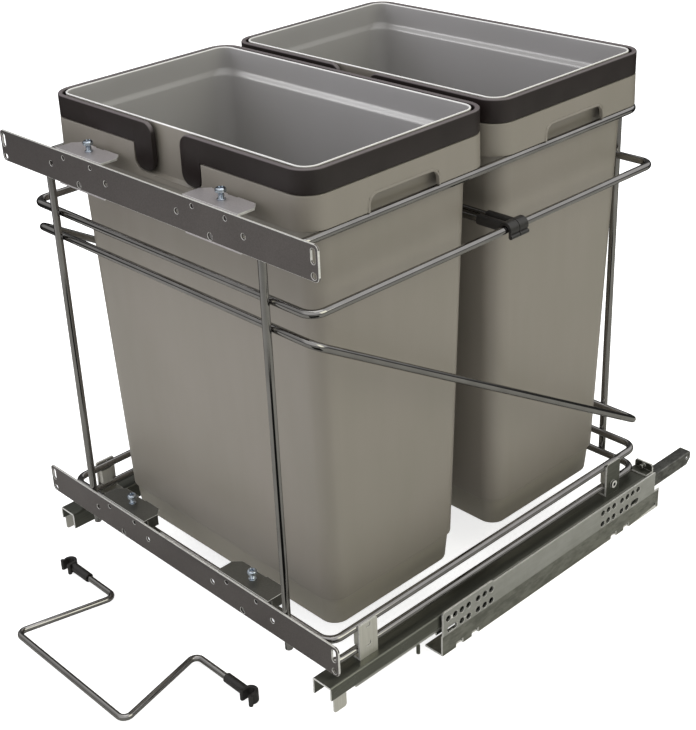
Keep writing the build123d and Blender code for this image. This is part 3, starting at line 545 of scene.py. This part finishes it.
# half sizes and corner radius of an outline with the collar's corner centres
def around(half):
    return half, half - bins["halfX"] + bins["halfY"], bins["corner"] + half - bins["halfX"]


# size of the collar's outer face at a height, moved out by grow
def collarSize(z, grow):
    share = (z - bins["collarZ"]) / (bins["rebateZ"] - bins["collarZ"])
    return around(bins["halfX"] - bins["draft"] * share + grow)


# the same for the wall inside the bag ring
def rimSize(z, grow):
    return around(bins["rimHalfX"] + bins["rimDraft"] * (bins["rimZ"] - z) + grow)


# the same for the tapered body
def bodySize(z, grow):
    share = (bins["ledgeZ"] - z) / (bins["ledgeZ"] - bins["footZ"])
    insetX = bins["bodyInset"][0] + bins["bodyTaper"][0] * share - grow
    insetY = bins["bodyInset"][1] + bins["bodyTaper"][1] * share - grow
    return bins["halfX"] - insetX, bins["halfY"] - insetY, bins["bodyCorner"] + grow + 0 * share


# the same for the foot below the step
def footSize(z, grow):
    share = (bins["footZ"] - z) / (bins["footZ"] - bins["bottomZ"])
    halfX, halfY, radius = bodySize(bins["footZ"], 0.0)
    inset = bins["footInset"] + bins["footDraft"] * share - grow
    return halfX - inset, halfY - inset, radius - bins["footInset"] + grow + 0 * share


# How far the lip stands proud: all the way within its width of the slot's edge, then down to nothing over its edge.
# The distance is that to the slot's straight core, less its corner radius.
def lipShare(away, z, slotTop):
    corner = bins["slotCorner"]
    distance = np.hypot(np.clip(away - bins["slotHalf"] + corner, 0, None),
                        np.clip(z - (slotTop - corner), 0, None)) - corner
    return np.clip((bins["lipWidth"] + bins["lipEdge"] - distance) / (2 * bins["lipEdge"]), 0, 1)


# Bin as one closed shell: a wall section is carried round the rounded rectangle. Each row of the section has an
# outline and a height. In the collar's skirt the height depends on the column, because the skirt's lower edge
# rises round the hand slots and its upper edge, the rebate, comes down in the front for the ring's hooks.
def moulded(place):
    centreY = bins["centres"][place]
    half, corner = bins["slotHalf"], bins["slotCorner"]
    arc = np.linspace(0, np.pi / 2, 9)
    near = np.concatenate(([0, 7, 14, 20, 25], half - corner + corner * np.sin(arc), [half + 0.03],
                           half + np.array([0.8, 1.6, 2.2, 2.7, 3.1, 3.6, 4.4, 6.0, 9.0, 14.0])))
    stops = np.concatenate((-near[:0:-1], near))
    notch, turn = bins["notchHalf"], bins["notchCorner"]
    wall = bins["wall"]
    ahead = np.concatenate(([0, 17], notch - turn + turn * np.sin(arc),
                            [notch + 0.02, notch + wall, notch + wall + 0.02, 70, 105]))
    columns = planColumns(stops, np.concatenate((-ahead[:0:-1], ahead)))
    onSide = ~np.isnan(columns[:, 3]) & (np.abs(columns[:, 0]) == 1)
    away = np.where(onSide, np.abs(columns[:, 3]), 999.0)
    slotTop = bins["collarZ"] + bins["slotHeight"]
    lift = slotTop - corner + np.sqrt(np.clip(corner ** 2 - np.clip(away - half + corner, 0, None) ** 2, 0, None))
    edgeZ = np.where(away <= half + 0.001, lift, bins["collarZ"])
    onFront = ~np.isnan(columns[:, 3]) & (np.abs(columns[:, 1] + 1) < 0.01)
    beside = np.where(onFront, np.abs(columns[:, 3]), 999.0)
    rounded = turn - np.sqrt(np.clip(turn ** 2 - np.clip(beside - notch + turn, 0, None) ** 2, 0, None))
    rebate = np.where(beside <= notch + 0.001, bins["notchZ"] + rounded, bins["rebateZ"])
    under = np.where(beside <= notch + wall + 0.001, bins["notchZ"], bins["rebateZ"]) - wall

    rows = []  # halfX, halfY, radius, z as rows by columns

    def addRows(size, z):
        z = np.atleast_1d(np.asarray(z, float))
        z = z[:, None] + np.zeros(len(columns)) if z.ndim < 2 else z
        rows.append(np.stack([np.broadcast_to(np.asarray(value, float).reshape(-1, 1)
                                              if np.ndim(value) < 2 else value, z.shape) for value in size] + [z]))

    def byRow(function, z, grow):
        z = np.asarray(z, float)
        grow = np.asarray(grow, float)
        return function(z, (grow[:, None] if z.ndim > grow.ndim > 0 else grow) + 0 * z)

    # underside: a recessed panel inside the foot's rounded edge
    base = np.array(footSize(np.array(bins["bottomZ"]), 0.0))
    panel = bins["panel"]
    for share, rise in ((0.0, panel), (0.3, panel), (0.6, panel), (0.83, panel), (0.845, 0.7 * panel),
                        (0.86, 0.3), (0.875, 0.0)):
        addRows(base * share, bins["bottomZ"] + rise)
    bend = np.linspace(0, np.pi / 2, 9)
    edge = bins["footEdge"]
    z = bins["bottomZ"] + edge * (1 - np.cos(bend))
    addRows(byRow(footSize, z, -edge * (1 - np.sin(bend))), z)
    # foot, step and body
    z = bins["footZ"] - np.array([11.0, 5.0, 1.0, 0.3, 0.0])
    addRows(byRow(footSize, z, [0, 0, 0, 0.1, 0.5]), z)
    soft = np.linspace(0, np.pi / 2, 5)
    z = bins["footZ"] + 1.0 - np.cos(soft)
    addRows(byRow(bodySize, z, -1.0 + np.sin(soft)), z)
    low = bins["footZ"] + 7
    z = low + np.linspace(0, 1, 14)[:, None] * (under - low - 2)
    addRows(byRow(bodySize, z, 0.0), z)
    # under the rebate and down inside the skirt
    z = np.stack((under - 0.6, under))
    addRows(byRow(bodySize, z, [0.2, 1.5]), z)
    z = np.stack((under, under - 1.2))
    addRows(byRow(collarSize, z, [-wall - 1.2, -wall]), z)
    share = np.array(bins["skirtRows"]) / bins["skirtParts"]
    down = edgeZ + share[::-1, None] * (rebate - edgeZ)
    down = np.minimum(down, under - 1.4)[::2]
    addRows(collarSize(down, -wall), down)
    # rounded lower edge of the skirt, then its outer face with the slot's lip
    bend = np.linspace(0, np.pi, 7)
    z = edgeZ + bins["skirtEdge"] * (1 - np.sin(bend))[:, None]
    growth = (-wall / 2 - wall / 2 * np.cos(bend))[:, None]
    proud = bins["lipHeight"] * lipShare(away, z, slotTop)
    outerShare = (growth + wall) / wall
    addRows(collarSize(z, growth + np.where(onSide, proud, 0) * outerShare), z)
    share = np.array([*bins["skirtRows"], 25, 27]) / bins["skirtParts"]
    up = edgeZ + share[:, None] * (rebate - edgeZ)
    proud = lipShare(away, up, slotTop)
    proud = bins["lipHeight"] * proud ** 2 * (3 - 2 * proud)
    addRows(collarSize(up, np.where(onSide, proud, 0)), up)
    # shoulder under the bag ring, with a rounded outer edge and a hollow round at the wall
    z = rebate - np.array([0.6, 0.18, 0.0])[:, None]
    addRows(byRow(collarSize, z, [0.0, -0.18, -0.6]), z)
    z = rebate + np.array([0.0, 0.15, 0.5])[:, None]
    addRows(byRow(rimSize, z, [0.5, 0.15, 0.0]), z)
    # wall inside the ring, rim and inner face
    z = rebate + np.array([0.3, 0.6, 0.9])[:, None] * (bins["rimZ"] - rebate)
    addRows(byRow(rimSize, z, 0.0), z)
    bend = np.linspace(0, np.pi, 9)
    thin = bins["rimWall"]
    z = bins["rimZ"] - thin / 2 * (1 - np.sin(bend))
    addRows(byRow(rimSize, z, -thin / 2 + thin / 2 * np.cos(bend)), z)
    insideRow = sum(block.shape[1] for block in rows) - 2
    z = bins["rimZ"] - np.array([7.0, 15.0])
    addRows(byRow(rimSize, z, -thin), z)
    # ledge: the wall goes over from the rim's size to the body's in an S, share = t^2 (3 - 2t)
    t = np.linspace(0, 1, 17)
    share = t ** 2 * (3 - 2 * t)
    z = bins["ledgeZ"] + bins["ledgeReach"] * (1 - 2 * t)
    sizes = zip(byRow(rimSize, z, -thin), byRow(bodySize, z, -wall))
    addRows([outer + (inner - outer) * share for outer, inner in sizes], z)
    # inner wall down to the pit and its floor
    step = bins["footZ"] + wall
    z = np.array([*bins["innerLevels"], step + 0.8])
    addRows(byRow(bodySize, z, -wall), z)
    addRows(byRow(bodySize, [step + 0.2, step], [-wall - 0.3, -wall - 1.0]), [step + 0.2, step])
    z = np.array([step, step - 0.5, step - 5.5, step - 11.5])
    addRows(byRow(footSize, z, [-wall + 0.6, -wall, -wall, -wall]), z)
    bend = np.linspace(0, np.pi / 2, 7)
    edge = bins["footEdge"] - wall
    floorZ = bins["bottomZ"] + wall + bins["floorPlay"]
    z = floorZ + edge * (1 - np.sin(bend))
    addRows(byRow(footSize, z, -wall - edge * (1 - np.cos(bend))), z)
    for share, rise in ((0.875, 0.0), (0.86, 0.3), (0.845, 0.8 * panel), (0.83, panel), (0.5, panel), (0.2, panel),
                        (0.0, panel)):
        addRows(base * share, floorZ + rise)

    table = np.concatenate(rows, 1)
    x, y = planPoints(columns, table[0], table[1], np.clip(table[2], 0, None), centreY)
    points = np.stack((x, y, table[3]), -1)
    faces = gridFaces(len(points), len(columns), False, True)
    inside = faces[:, 0] >= insideRow * len(columns)
    makePiece(place + "_moulded_bin", points, faces, place + "_bin", 40, inside)


for place in bins["centres"]:
    moulded(place)
print("bins moulded")

ring = {
    "halfX": 165.9,  # of the outer face
    "wall": 4.4,
    "topZ": 477.0,
    "bottomZ": 457.0,
    "hookZ": 434.7,
    "splitHalf": 18.7,
    "hookWidth": 23.9,
    "hookCorner": 10.0,
    "edges": (0.5, 1.5),  # rounding of the band's lower and upper edges
    "edgeSteps": 5,
}


# Bag ring as one closed band: its section, a rounded oblong, is carried round the collar from one side of the split
# to the other. Top and bottom of the section follow the hooks: an arc of the hook's corner radius at the shoulder
# and at both sides of the tip.
def bagRing(place):
    centreY = bins["centres"][place]
    split, width, corner = ring["splitHalf"], ring["hookWidth"], ring["hookCorner"]
    arc = np.linspace(0, np.pi / 2, 10)
    rise = corner * (1 - np.cos(arc))
    near = split + np.concatenate((rise[:-1], [corner, width - corner], width - corner + corner * np.sin(arc[1:]),
                                   [width + 0.02]))
    near = np.concatenate((near, [split + width + 12, split + width + 40]))
    columns = planColumns(np.linspace(-70, 70, 5), np.concatenate((-near[::-1], near)))
    front = (np.abs(columns[:, 1] + 1) < 0.01) & ~np.isnan(columns[:, 3])
    start = int(np.argmax(front & (np.abs(columns[:, 3] - split) < 0.001)))
    columns = np.roll(columns, -start, 0)  # begins at the right-hand side of the split, ends at its left
    front = np.roll(front, -start)
    along = np.where(front, np.abs(columns[:, 3]) - split, 999.0)
    tip = np.where(along < corner, corner - along, np.clip(along - (width - corner), 0, None))
    tip = corner - np.sqrt(np.clip(corner ** 2 - tip ** 2, 0, None))
    low = np.where(along <= width + 0.001, ring["hookZ"] + tip, ring["bottomZ"])
    shoulder = corner - np.sqrt(np.clip(corner ** 2 - np.clip(corner - along, 0, None) ** 2, 0, None))
    high = ring["topZ"] - np.where(along < corner, shoulder, 0)

    wall = ring["wall"]
    steps = ring["edgeSteps"]
    bend = np.linspace(0, np.pi / 2, steps)
    quarter = np.column_stack((np.cos(bend), np.sin(bend)))
    section = []  # place across the wall (0 inner, 1 outer) and up it, and the way out of the corner's centre
    for outer, upper, (cosine, sine) in ((1, 1, (1, 0)), (0, 1, (0, 1)), (0, 0, (-1, 0)), (1, 0, (0, -1))):
        way = quarter @ np.array([[cosine, sine], [-sine, cosine]])
        section.append(np.column_stack((np.full(steps, outer), np.full(steps, upper), way)))
    section = np.vstack(section)
    edge = np.array(ring["edges"])[section[:, 1:2].astype(int)]
    z = np.where(section[:, 1:2] == 1, high - edge, low + edge) + edge * section[:, 3:4]
    across = np.where(section[:, 0:1] == 1, -edge, edge - wall) + edge * section[:, 2:3]
    halfX, halfY, radius = around(ring["halfX"] + across)
    x, y = planPoints(columns, halfX, halfY, radius, centreY)
    points = np.stack((x, y, z), -1)
    # both ends are closed by triangles to a point in the middle
    starts = np.arange(len(section)) * len(columns)
    middle = points[:, [0, -1]].mean(0)
    points = np.vstack((points.reshape(-1, 3), middle))
    caps = [np.column_stack((end, np.roll(end, -1), np.full(len(section), hub)))
            for end, hub in ((starts, len(points) - 2), (starts + len(columns) - 1, len(points) - 1))]
    faces = gridFaces(len(section), len(columns), True, False).tolist() + np.vstack(caps).tolist()
    makePiece(place + "_bag_band", points, np.array(faces, dtype=object), place + "_bag_ring")


for place in bins["centres"]:
    bagRing(place)
print("bag rings made")


screw = {
    "x": 87.4,
    "depth": 13.8,
    "levels": {"upper": (429.0, 443.0), "lower": (80.2, 90.6)},  # tip and top of the tab
    "radius": 2.6,
    "pitch": 1.0,
    "threadDepth": 0.5,
    "collarRadius": 3.6,
    "collarHeight": 1.2,
    "standoff": 6.4,
    "headRadius": 4.6,
    "headHeight": 3.6,
    "headEdge": 1.8,
    "recess": (0.7, 2.5, 1.6),  # half width and half length of a slot of the cross, and its depth
    "sides": 64,
}


# Screw turned from its tip to the middle of its head. The thread is a V whose depth follows the turn and the height:
# |2f - 1| with f the part of height / pitch - turn that is left over. The cross goes down where the distance to
# the nearer slot's edge is under zero.
def screwPoints(x, tip, tabTop):
    collarTop = tabTop + screw["collarHeight"]
    headZ = tabTop + screw["standoff"]
    top = headZ + screw["headHeight"]
    core, collar, head, edge = (screw[key] for key in ("radius", "collarRadius", "headRadius", "headEdge"))
    buried = np.arange(tip + 0.4, tabTop - 0.1, 0.2)
    bare = np.arange(collarTop + 0.1, headZ - 0.2, 0.2)
    bend = np.linspace(0, np.pi / 2, 8)
    face = np.linspace(head - edge - 0.18, 0, 15)
    radius = np.concatenate(([0, 1.4, 2.0], np.full(len(buried), core), [core, collar - 0.2, collar, collar,
                             collar - 0.2, core], np.full(len(bare), core), [core, head - 0.3, head],
                             head - edge + edge * np.cos(bend), face))
    z = np.concatenate(([tip, tip, tip + 0.2], buried, [tabTop, tabTop, tabTop + 0.2, collarTop - 0.2, collarTop,
                        collarTop], bare, [headZ, headZ, headZ + 0.3], top - edge + edge * np.sin(bend),
                        np.full(len(face), top)))
    threaded = np.isin(z, np.concatenate((buried, bare)))
    angle = np.linspace(0, 2 * np.pi, screw["sides"], endpoint=False)
    left = np.mod(z[:, None] / screw["pitch"] - angle / (2 * np.pi), 1)
    radius = radius[:, None] - screw["threadDepth"] * threaded[:, None] * np.abs(2 * left - 1)
    across, along = radius * np.cos(angle), radius * np.sin(angle)
    half, reach, depth = screw["recess"]
    slots = np.minimum(np.maximum(np.abs(across) - half, np.abs(along) - reach),
                       np.maximum(np.abs(along) - half, np.abs(across) - reach))
    sunk = depth * np.clip((0.1 - slots) / 0.25, 0, 1) * (z[:, None] >= top - 0.001)
    return np.stack((across + x, along + screw["depth"] + plateFaceY, z[:, None] - sunk), -1)


blocks = [screwPoints(side * screw["x"], *level) for level in screw["levels"].values() for side in (-1, 1)]
starts = np.cumsum([0] + [block[..., 0].size for block in blocks[:-1]])
screwFaces = [gridFaces(block.shape[0], block.shape[1], False, True) + start for block, start in zip(blocks, starts)]
makePiece("adjusting_cross_screws", np.vstack([block.reshape(-1, 3) for block in blocks]), np.vstack(screwFaces),
          "adjusting_screws")
print("screws turned:", len(blocks))


edges = {
    "widths": {  # mm, by node or by what the left and right node have in common
        "cabinet_bracket": 0.25, "cabinet_rail": 0.25, "middle_member": 0.2, "drawer_member": 0.25,
        "rear_hook": 0.3, "front_hook": 0.2, "front_base_plate": 0.2, "rear_base_plate": 0.2,
        "upper_door_bracket": 0.3, "lower_door_bracket": 0.3, "mounted_clip": 0.4, "second_clip": 0.4,
        "loose_clip": 0.4, "upper_door_plate": 0.3, "lower_door_plate": 0.3, "nut_blocks": 0.3, "spacer_blocks": 0.3,
    },
    "notSheet": ("mounted_clip", "second_clip", "loose_clip", "nut_blocks", "spacer_blocks"),
    "sheetThickness": 2.1,  # mm, at most
    "sharpShare": 0.2,  # of a narrow face's outline, at least
    "holeWall": 3.5,  # mm2, narrow faces under it are walls of holes and keep the first finish
    "flat": 0.6,  # degrees, facets that turn less are merged
    "smooth": 28,  # shading runs over edges that turn less
    "bevelled": 40,  # the bevel goes on edges that turn more
}


# Merged copy of a CAD node whose edges are broken by a small bevel, as pressing or moulding leaves them. On sheet
# the second finish goes on the bevels and on faces that are as narrow as the sheet is thick, width being twice the
# area over the perimeter, with sharp edges beside them.
def brokenEdges(name, width, sheet):
    source = cadNodes[name]
    mesh = source.data.copy()
    mesh.name = name + "_pressed"
    if "custom_normal" in mesh.attributes:
        mesh.attributes.remove(mesh.attributes["custom_normal"])
    work = bmesh.new()
    work.from_mesh(mesh)
    bmesh.ops.remove_doubles(work, verts=work.verts, dist=0.01 * mm)
    bmesh.ops.dissolve_limit(work, angle_limit=math.radians(edges["flat"]), verts=work.verts, edges=work.edges)
    if sheet:
        for face in work.faces:
            area, perimeter = face.calc_area(), face.calc_perimeter()
            sharp = sum(edge.calc_length() for edge in face.edges if edge.calc_face_angle(0) > 1)
            narrow = 2 * area / perimeter < edges["sheetThickness"] * mm
            if narrow and sharp > edges["sharpShare"] * perimeter and area > edges["holeWall"] * mm ** 2:
                face.material_index = 1
    work.to_mesh(mesh)
    work.free()
    mesh.shade_smooth()
    mesh.set_sharp_from_angle(angle=math.radians(edges["smooth"]))
    piece = bpy.data.objects.new(name + "_pressed", mesh)
    bpy.context.scene.collection.objects.link(piece)
    bevel = piece.modifiers.new("brokenEdge", "BEVEL")
    bevel.width = width * mm
    bevel.segments = 2
    bevel.limit_method = "ANGLE"
    bevel.angle_limit = math.radians(edges["bevelled"])
    bevel.use_clamp_overlap = False
    bevel.harden_normals = True
    if sheet:
        mesh.materials.append(secondFinishes["sheet"])
        bevel.material = 1
    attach(piece, source["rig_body"])
    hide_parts(name)


for name, width in edges["widths"].items():
    for node in (name, name + "_left", name + "_right"):
        if node in cadNodes:
            brokenEdges(node, width, name not in edges["notSheet"])
print("edges broken")

floorSheet = {
    "size": 14000.0,
    "light": "#f4f4f3",
    "dark": "#f1f1f0",
    "glow": (0.72, 0.3),  # of its own, seen by the camera and by matt surfaces
    # painted reflection: the board's colour in glossy rays, with two dark cards painted in where no card stands
    "inMetal": "#b8b8b3",
    "paintedCardBehind": "#262624",
    "paintedCardBefore": "#161615",
    "behind": (-0.35, -0.25),  # m, where the cards' edges fade out
    "before": (0.33, 0.38),
    "far": (1.22, 1.3),
    "beside": (0.08, 0.16),
    "sideSlope": -2.2,  # metres along for a metre aside, on the sides of the card before the object
}
side = np.linspace(-floorSheet["size"] / 2, floorSheet["size"] / 2, 9)
floorX, floorY = np.meshgrid(side, side, indexing="ij")
floorPoints = np.stack((floorX, floorY, np.zeros_like(floorX)), -1)
floorMesh = bpy.data.meshes.new("floor")
floorMesh.from_pydata((floorPoints.reshape(-1, 3) * mm).tolist(), [], gridFaces(9, 9).tolist())
floor = bpy.data.objects.new("floor", floorMesh)
bpy.context.scene.collection.objects.link(floor)


# Pale matt board, faintly uneven. In reflections it is painted greyer, with a painted dark card behind the object
# and one before it that widens with its distance, where no card stands. `along` is the distance in m from the
# object's middle towards the front right, `aside` that to either side of this line.
def floorFinish(tree, place):
    cloud = grainNoise(tree, place, 400)
    body = blendColours(tree, spread(tree, cloud, 0, 1), floorSheet["light"], floorSheet["dark"])
    ray = addNode(tree, "ShaderNodeLightPath")
    toCamera, toMatt = floorSheet["glow"]
    seen = addNode(tree, "ShaderNodeMath", {"operation": "MULTIPLY", 1: toCamera}, {0: ray.outputs["Is Camera Ray"]})
    glow = addNode(tree, "ShaderNodeMath", {"operation": "MULTIPLY_ADD", 1: toMatt},
                   {0: ray.outputs["Is Diffuse Ray"], 2: seen.outputs[0]})
    along = addNode(tree, "ShaderNodeVectorMath", {"operation": "DOT_PRODUCT", 1: (0.76, -0.65, 0)}, {0: place})
    along = along.outputs["Value"]
    aside = addNode(tree, "ShaderNodeVectorMath", {"operation": "DOT_PRODUCT", 1: (0.65, 0.76, 0)}, {0: place})
    aside = addNode(tree, "ShaderNodeMath", {"operation": "ABSOLUTE"}, {0: aside.outputs["Value"]}).outputs[0]
    wedge = addNode(tree, "ShaderNodeMath", {"operation": "MULTIPLY_ADD", 1: floorSheet["sideSlope"]},
                    {0: aside, 2: along}).outputs[0]
    reflected = blendColours(tree, spread(tree, along, 0, 1, *floorSheet["behind"]), floorSheet["paintedCardBehind"],
                             floorSheet["inMetal"])
    paintedCard = spread(tree, along, 0, 1, *floorSheet["before"])
    for limit in (spread(tree, wedge, 0, 1, *floorSheet["beside"]), spread(tree, along, 1, 0, *floorSheet["far"])):
        paintedCard = addNode(tree, "ShaderNodeMath", {"operation": "MULTIPLY"}, {0: paintedCard, 1: limit}).outputs[0]
    reflected = blendColours(tree, paintedCard, reflected, floorSheet["paintedCardBefore"])
    return {"Base Color": blendColours(tree, ray.outputs["Is Glossy Ray"], body, reflected),
            "Emission Strength": glow.outputs[0]}


floorMesh.materials.append(makeMaterial("pale_matt_board", {"Roughness": 0.9, "Specular IOR Level": 0.1,
                                                            "Emission Color": (1, 1, 1, 1)}, floorFinish))
print("floor laid")

camera = {
    "yaw": -49.31,  # degrees
    "pitch": -26.02,
    "roll": -3.57,
    "place": (867.92, -800.32, 817.58),  # mm
    "lens": 68.656,  # mm
    "shift": (0.0822, -0.0548),
}
yaw, pitch, roll = (math.radians(camera[key]) for key in ("yaw", "pitch", "roll"))
right = Vector((math.cos(yaw), -math.sin(yaw), 0))
ahead = Vector((math.sin(yaw) * math.cos(pitch), math.cos(yaw) * math.cos(pitch), math.sin(pitch)))
upward = right.cross(ahead)
turned = (math.cos(roll) * right + math.sin(roll) * upward, -math.sin(roll) * right + math.cos(roll) * upward)
cameraData = bpy.data.cameras.new("photoCamera")
cameraData.lens = camera["lens"]
cameraData.shift_x, cameraData.shift_y = camera["shift"]
cameraData.clip_start = 0.05
photoCamera = bpy.data.objects.new("photoCamera", cameraData)
photoCamera.matrix_world = (Matrix.Translation(Vector(camera["place"]) * mm)
                            @ Matrix((turned[0], turned[1], -ahead)).transposed().to_4x4())
bpy.context.scene.collection.objects.link(photoCamera)
bpy.context.scene.camera = photoCamera

# soft boxes: place and target in m, width and height in m, power in W, colour
softBoxes = {
    "overheadBox": ((0.1, 0.0, 2.3), (0, 0, 0.3), 1.6, 1.6, 7, (1.0, 1.0, 1.0)),
    "leftBox": ((-1.6, -1.9, 1.1), (0, 0, 0.2), 2.2, 2.0, 27, (1.0, 1.0, 1.12)),
    "ledgeBox": ((-1.4, -0.9, 1.7), (0, 0, 0.45), 0.5, 0.9, 15, (1.0, 1.0, 1.0)),
    "rightBox": ((2.1, 0.5, 1.5), (0, 0, 0.25), 1.4, 1.6, 12, (1.0, 1.0, 0.78)),
}
# The ledge box only makes the bright line on the bins' inner ledges. The left box isn't seen in metal, which it
# would turn white.
ledgeBins = bpy.data.collections.new("ledge_bins")
for piece in bpy.context.scene.collection.objects:
    if piece.name.endswith("_moulded_bin"):
        ledgeBins.objects.link(piece)
for name, (place, target, width, height, power, colour) in softBoxes.items():
    lightData = bpy.data.lights.new(name, "AREA")
    lightData.shape = "RECTANGLE"
    lightData.size, lightData.size_y = width, height
    lightData.energy = power
    lightData.color = colour
    light = bpy.data.objects.new(name, lightData)
    light.visible_glossy = name != "leftBox"
    if name == "ledgeBox":
        light.visible_diffuse = False
        light.light_linking.receiver_collection = ledgeBins
    light.location = place
    light.rotation_euler = (Vector(target) - Vector(place)).to_track_quat("-Z", "Y").to_euler()
    bpy.context.scene.collection.objects.link(light)

studio = {  # strength of the white surroundings
    "seen": 1.0,  # by the camera
    "even": (0.5, 0.85),  # on matt surfaces, from the horizon up
    "horizon": 0.06,  # in reflections
    "behind": ((-0.76, 0.65, 0), 0.1, (0.6, 0.8)),  # a way, the strength there in reflections and, as cosines
    "left": ((-0.84, -0.54, 0), 0.5, (0.5, 0.8)),  # of the turn from this way, where it sets in
}
# In reflections the studio is dark along the horizon and behind the object and dimmer on the left, so that metal
# has contrast.
world = bpy.data.worlds.new("studio")
bpy.context.scene.world = world
world.use_nodes = True
tree = world.node_tree
tree.nodes.clear()
way = addNode(tree, "ShaderNodeTexCoord").outputs["Generated"]
height = addNode(tree, "ShaderNodeSeparateXYZ", {}, {0: way}).outputs["Z"]
even = spread(tree, height, *studio["even"], 0.0, 0.6)
contrast = spread(tree, height, studio["horizon"], 1.0, 0.05, 0.3)
for key in ("behind", "left"):
    direction, strength, turn = studio[key]
    toward = addNode(tree, "ShaderNodeVectorMath", {"operation": "DOT_PRODUCT", 1: direction}, {0: way})
    dimmed = spread(tree, toward.outputs["Value"], 1.0, strength, *turn)
    contrast = addNode(tree, "ShaderNodeMath", {"operation": "MULTIPLY"}, {0: contrast, 1: dimmed}).outputs[0]
ray = addNode(tree, "ShaderNodeLightPath")
level = addNode(tree, "ShaderNodeMix", {}, {0: ray.outputs["Is Glossy Ray"], 2: even, 3: contrast}).outputs[0]
level = addNode(tree, "ShaderNodeMix", {3: studio["seen"]}, {0: ray.outputs["Is Camera Ray"], 2: level}).outputs[0]
sky = addNode(tree, "ShaderNodeBackground", {"Color": (1.0, 1.0, 1.0, 1.0)}, {"Strength": level})
addNode(tree, "ShaderNodeOutputWorld", {}, {"Surface": sky.outputs[0]})
bpy.context.scene.view_settings.view_transform = "Standard"
print("camera and lights set")
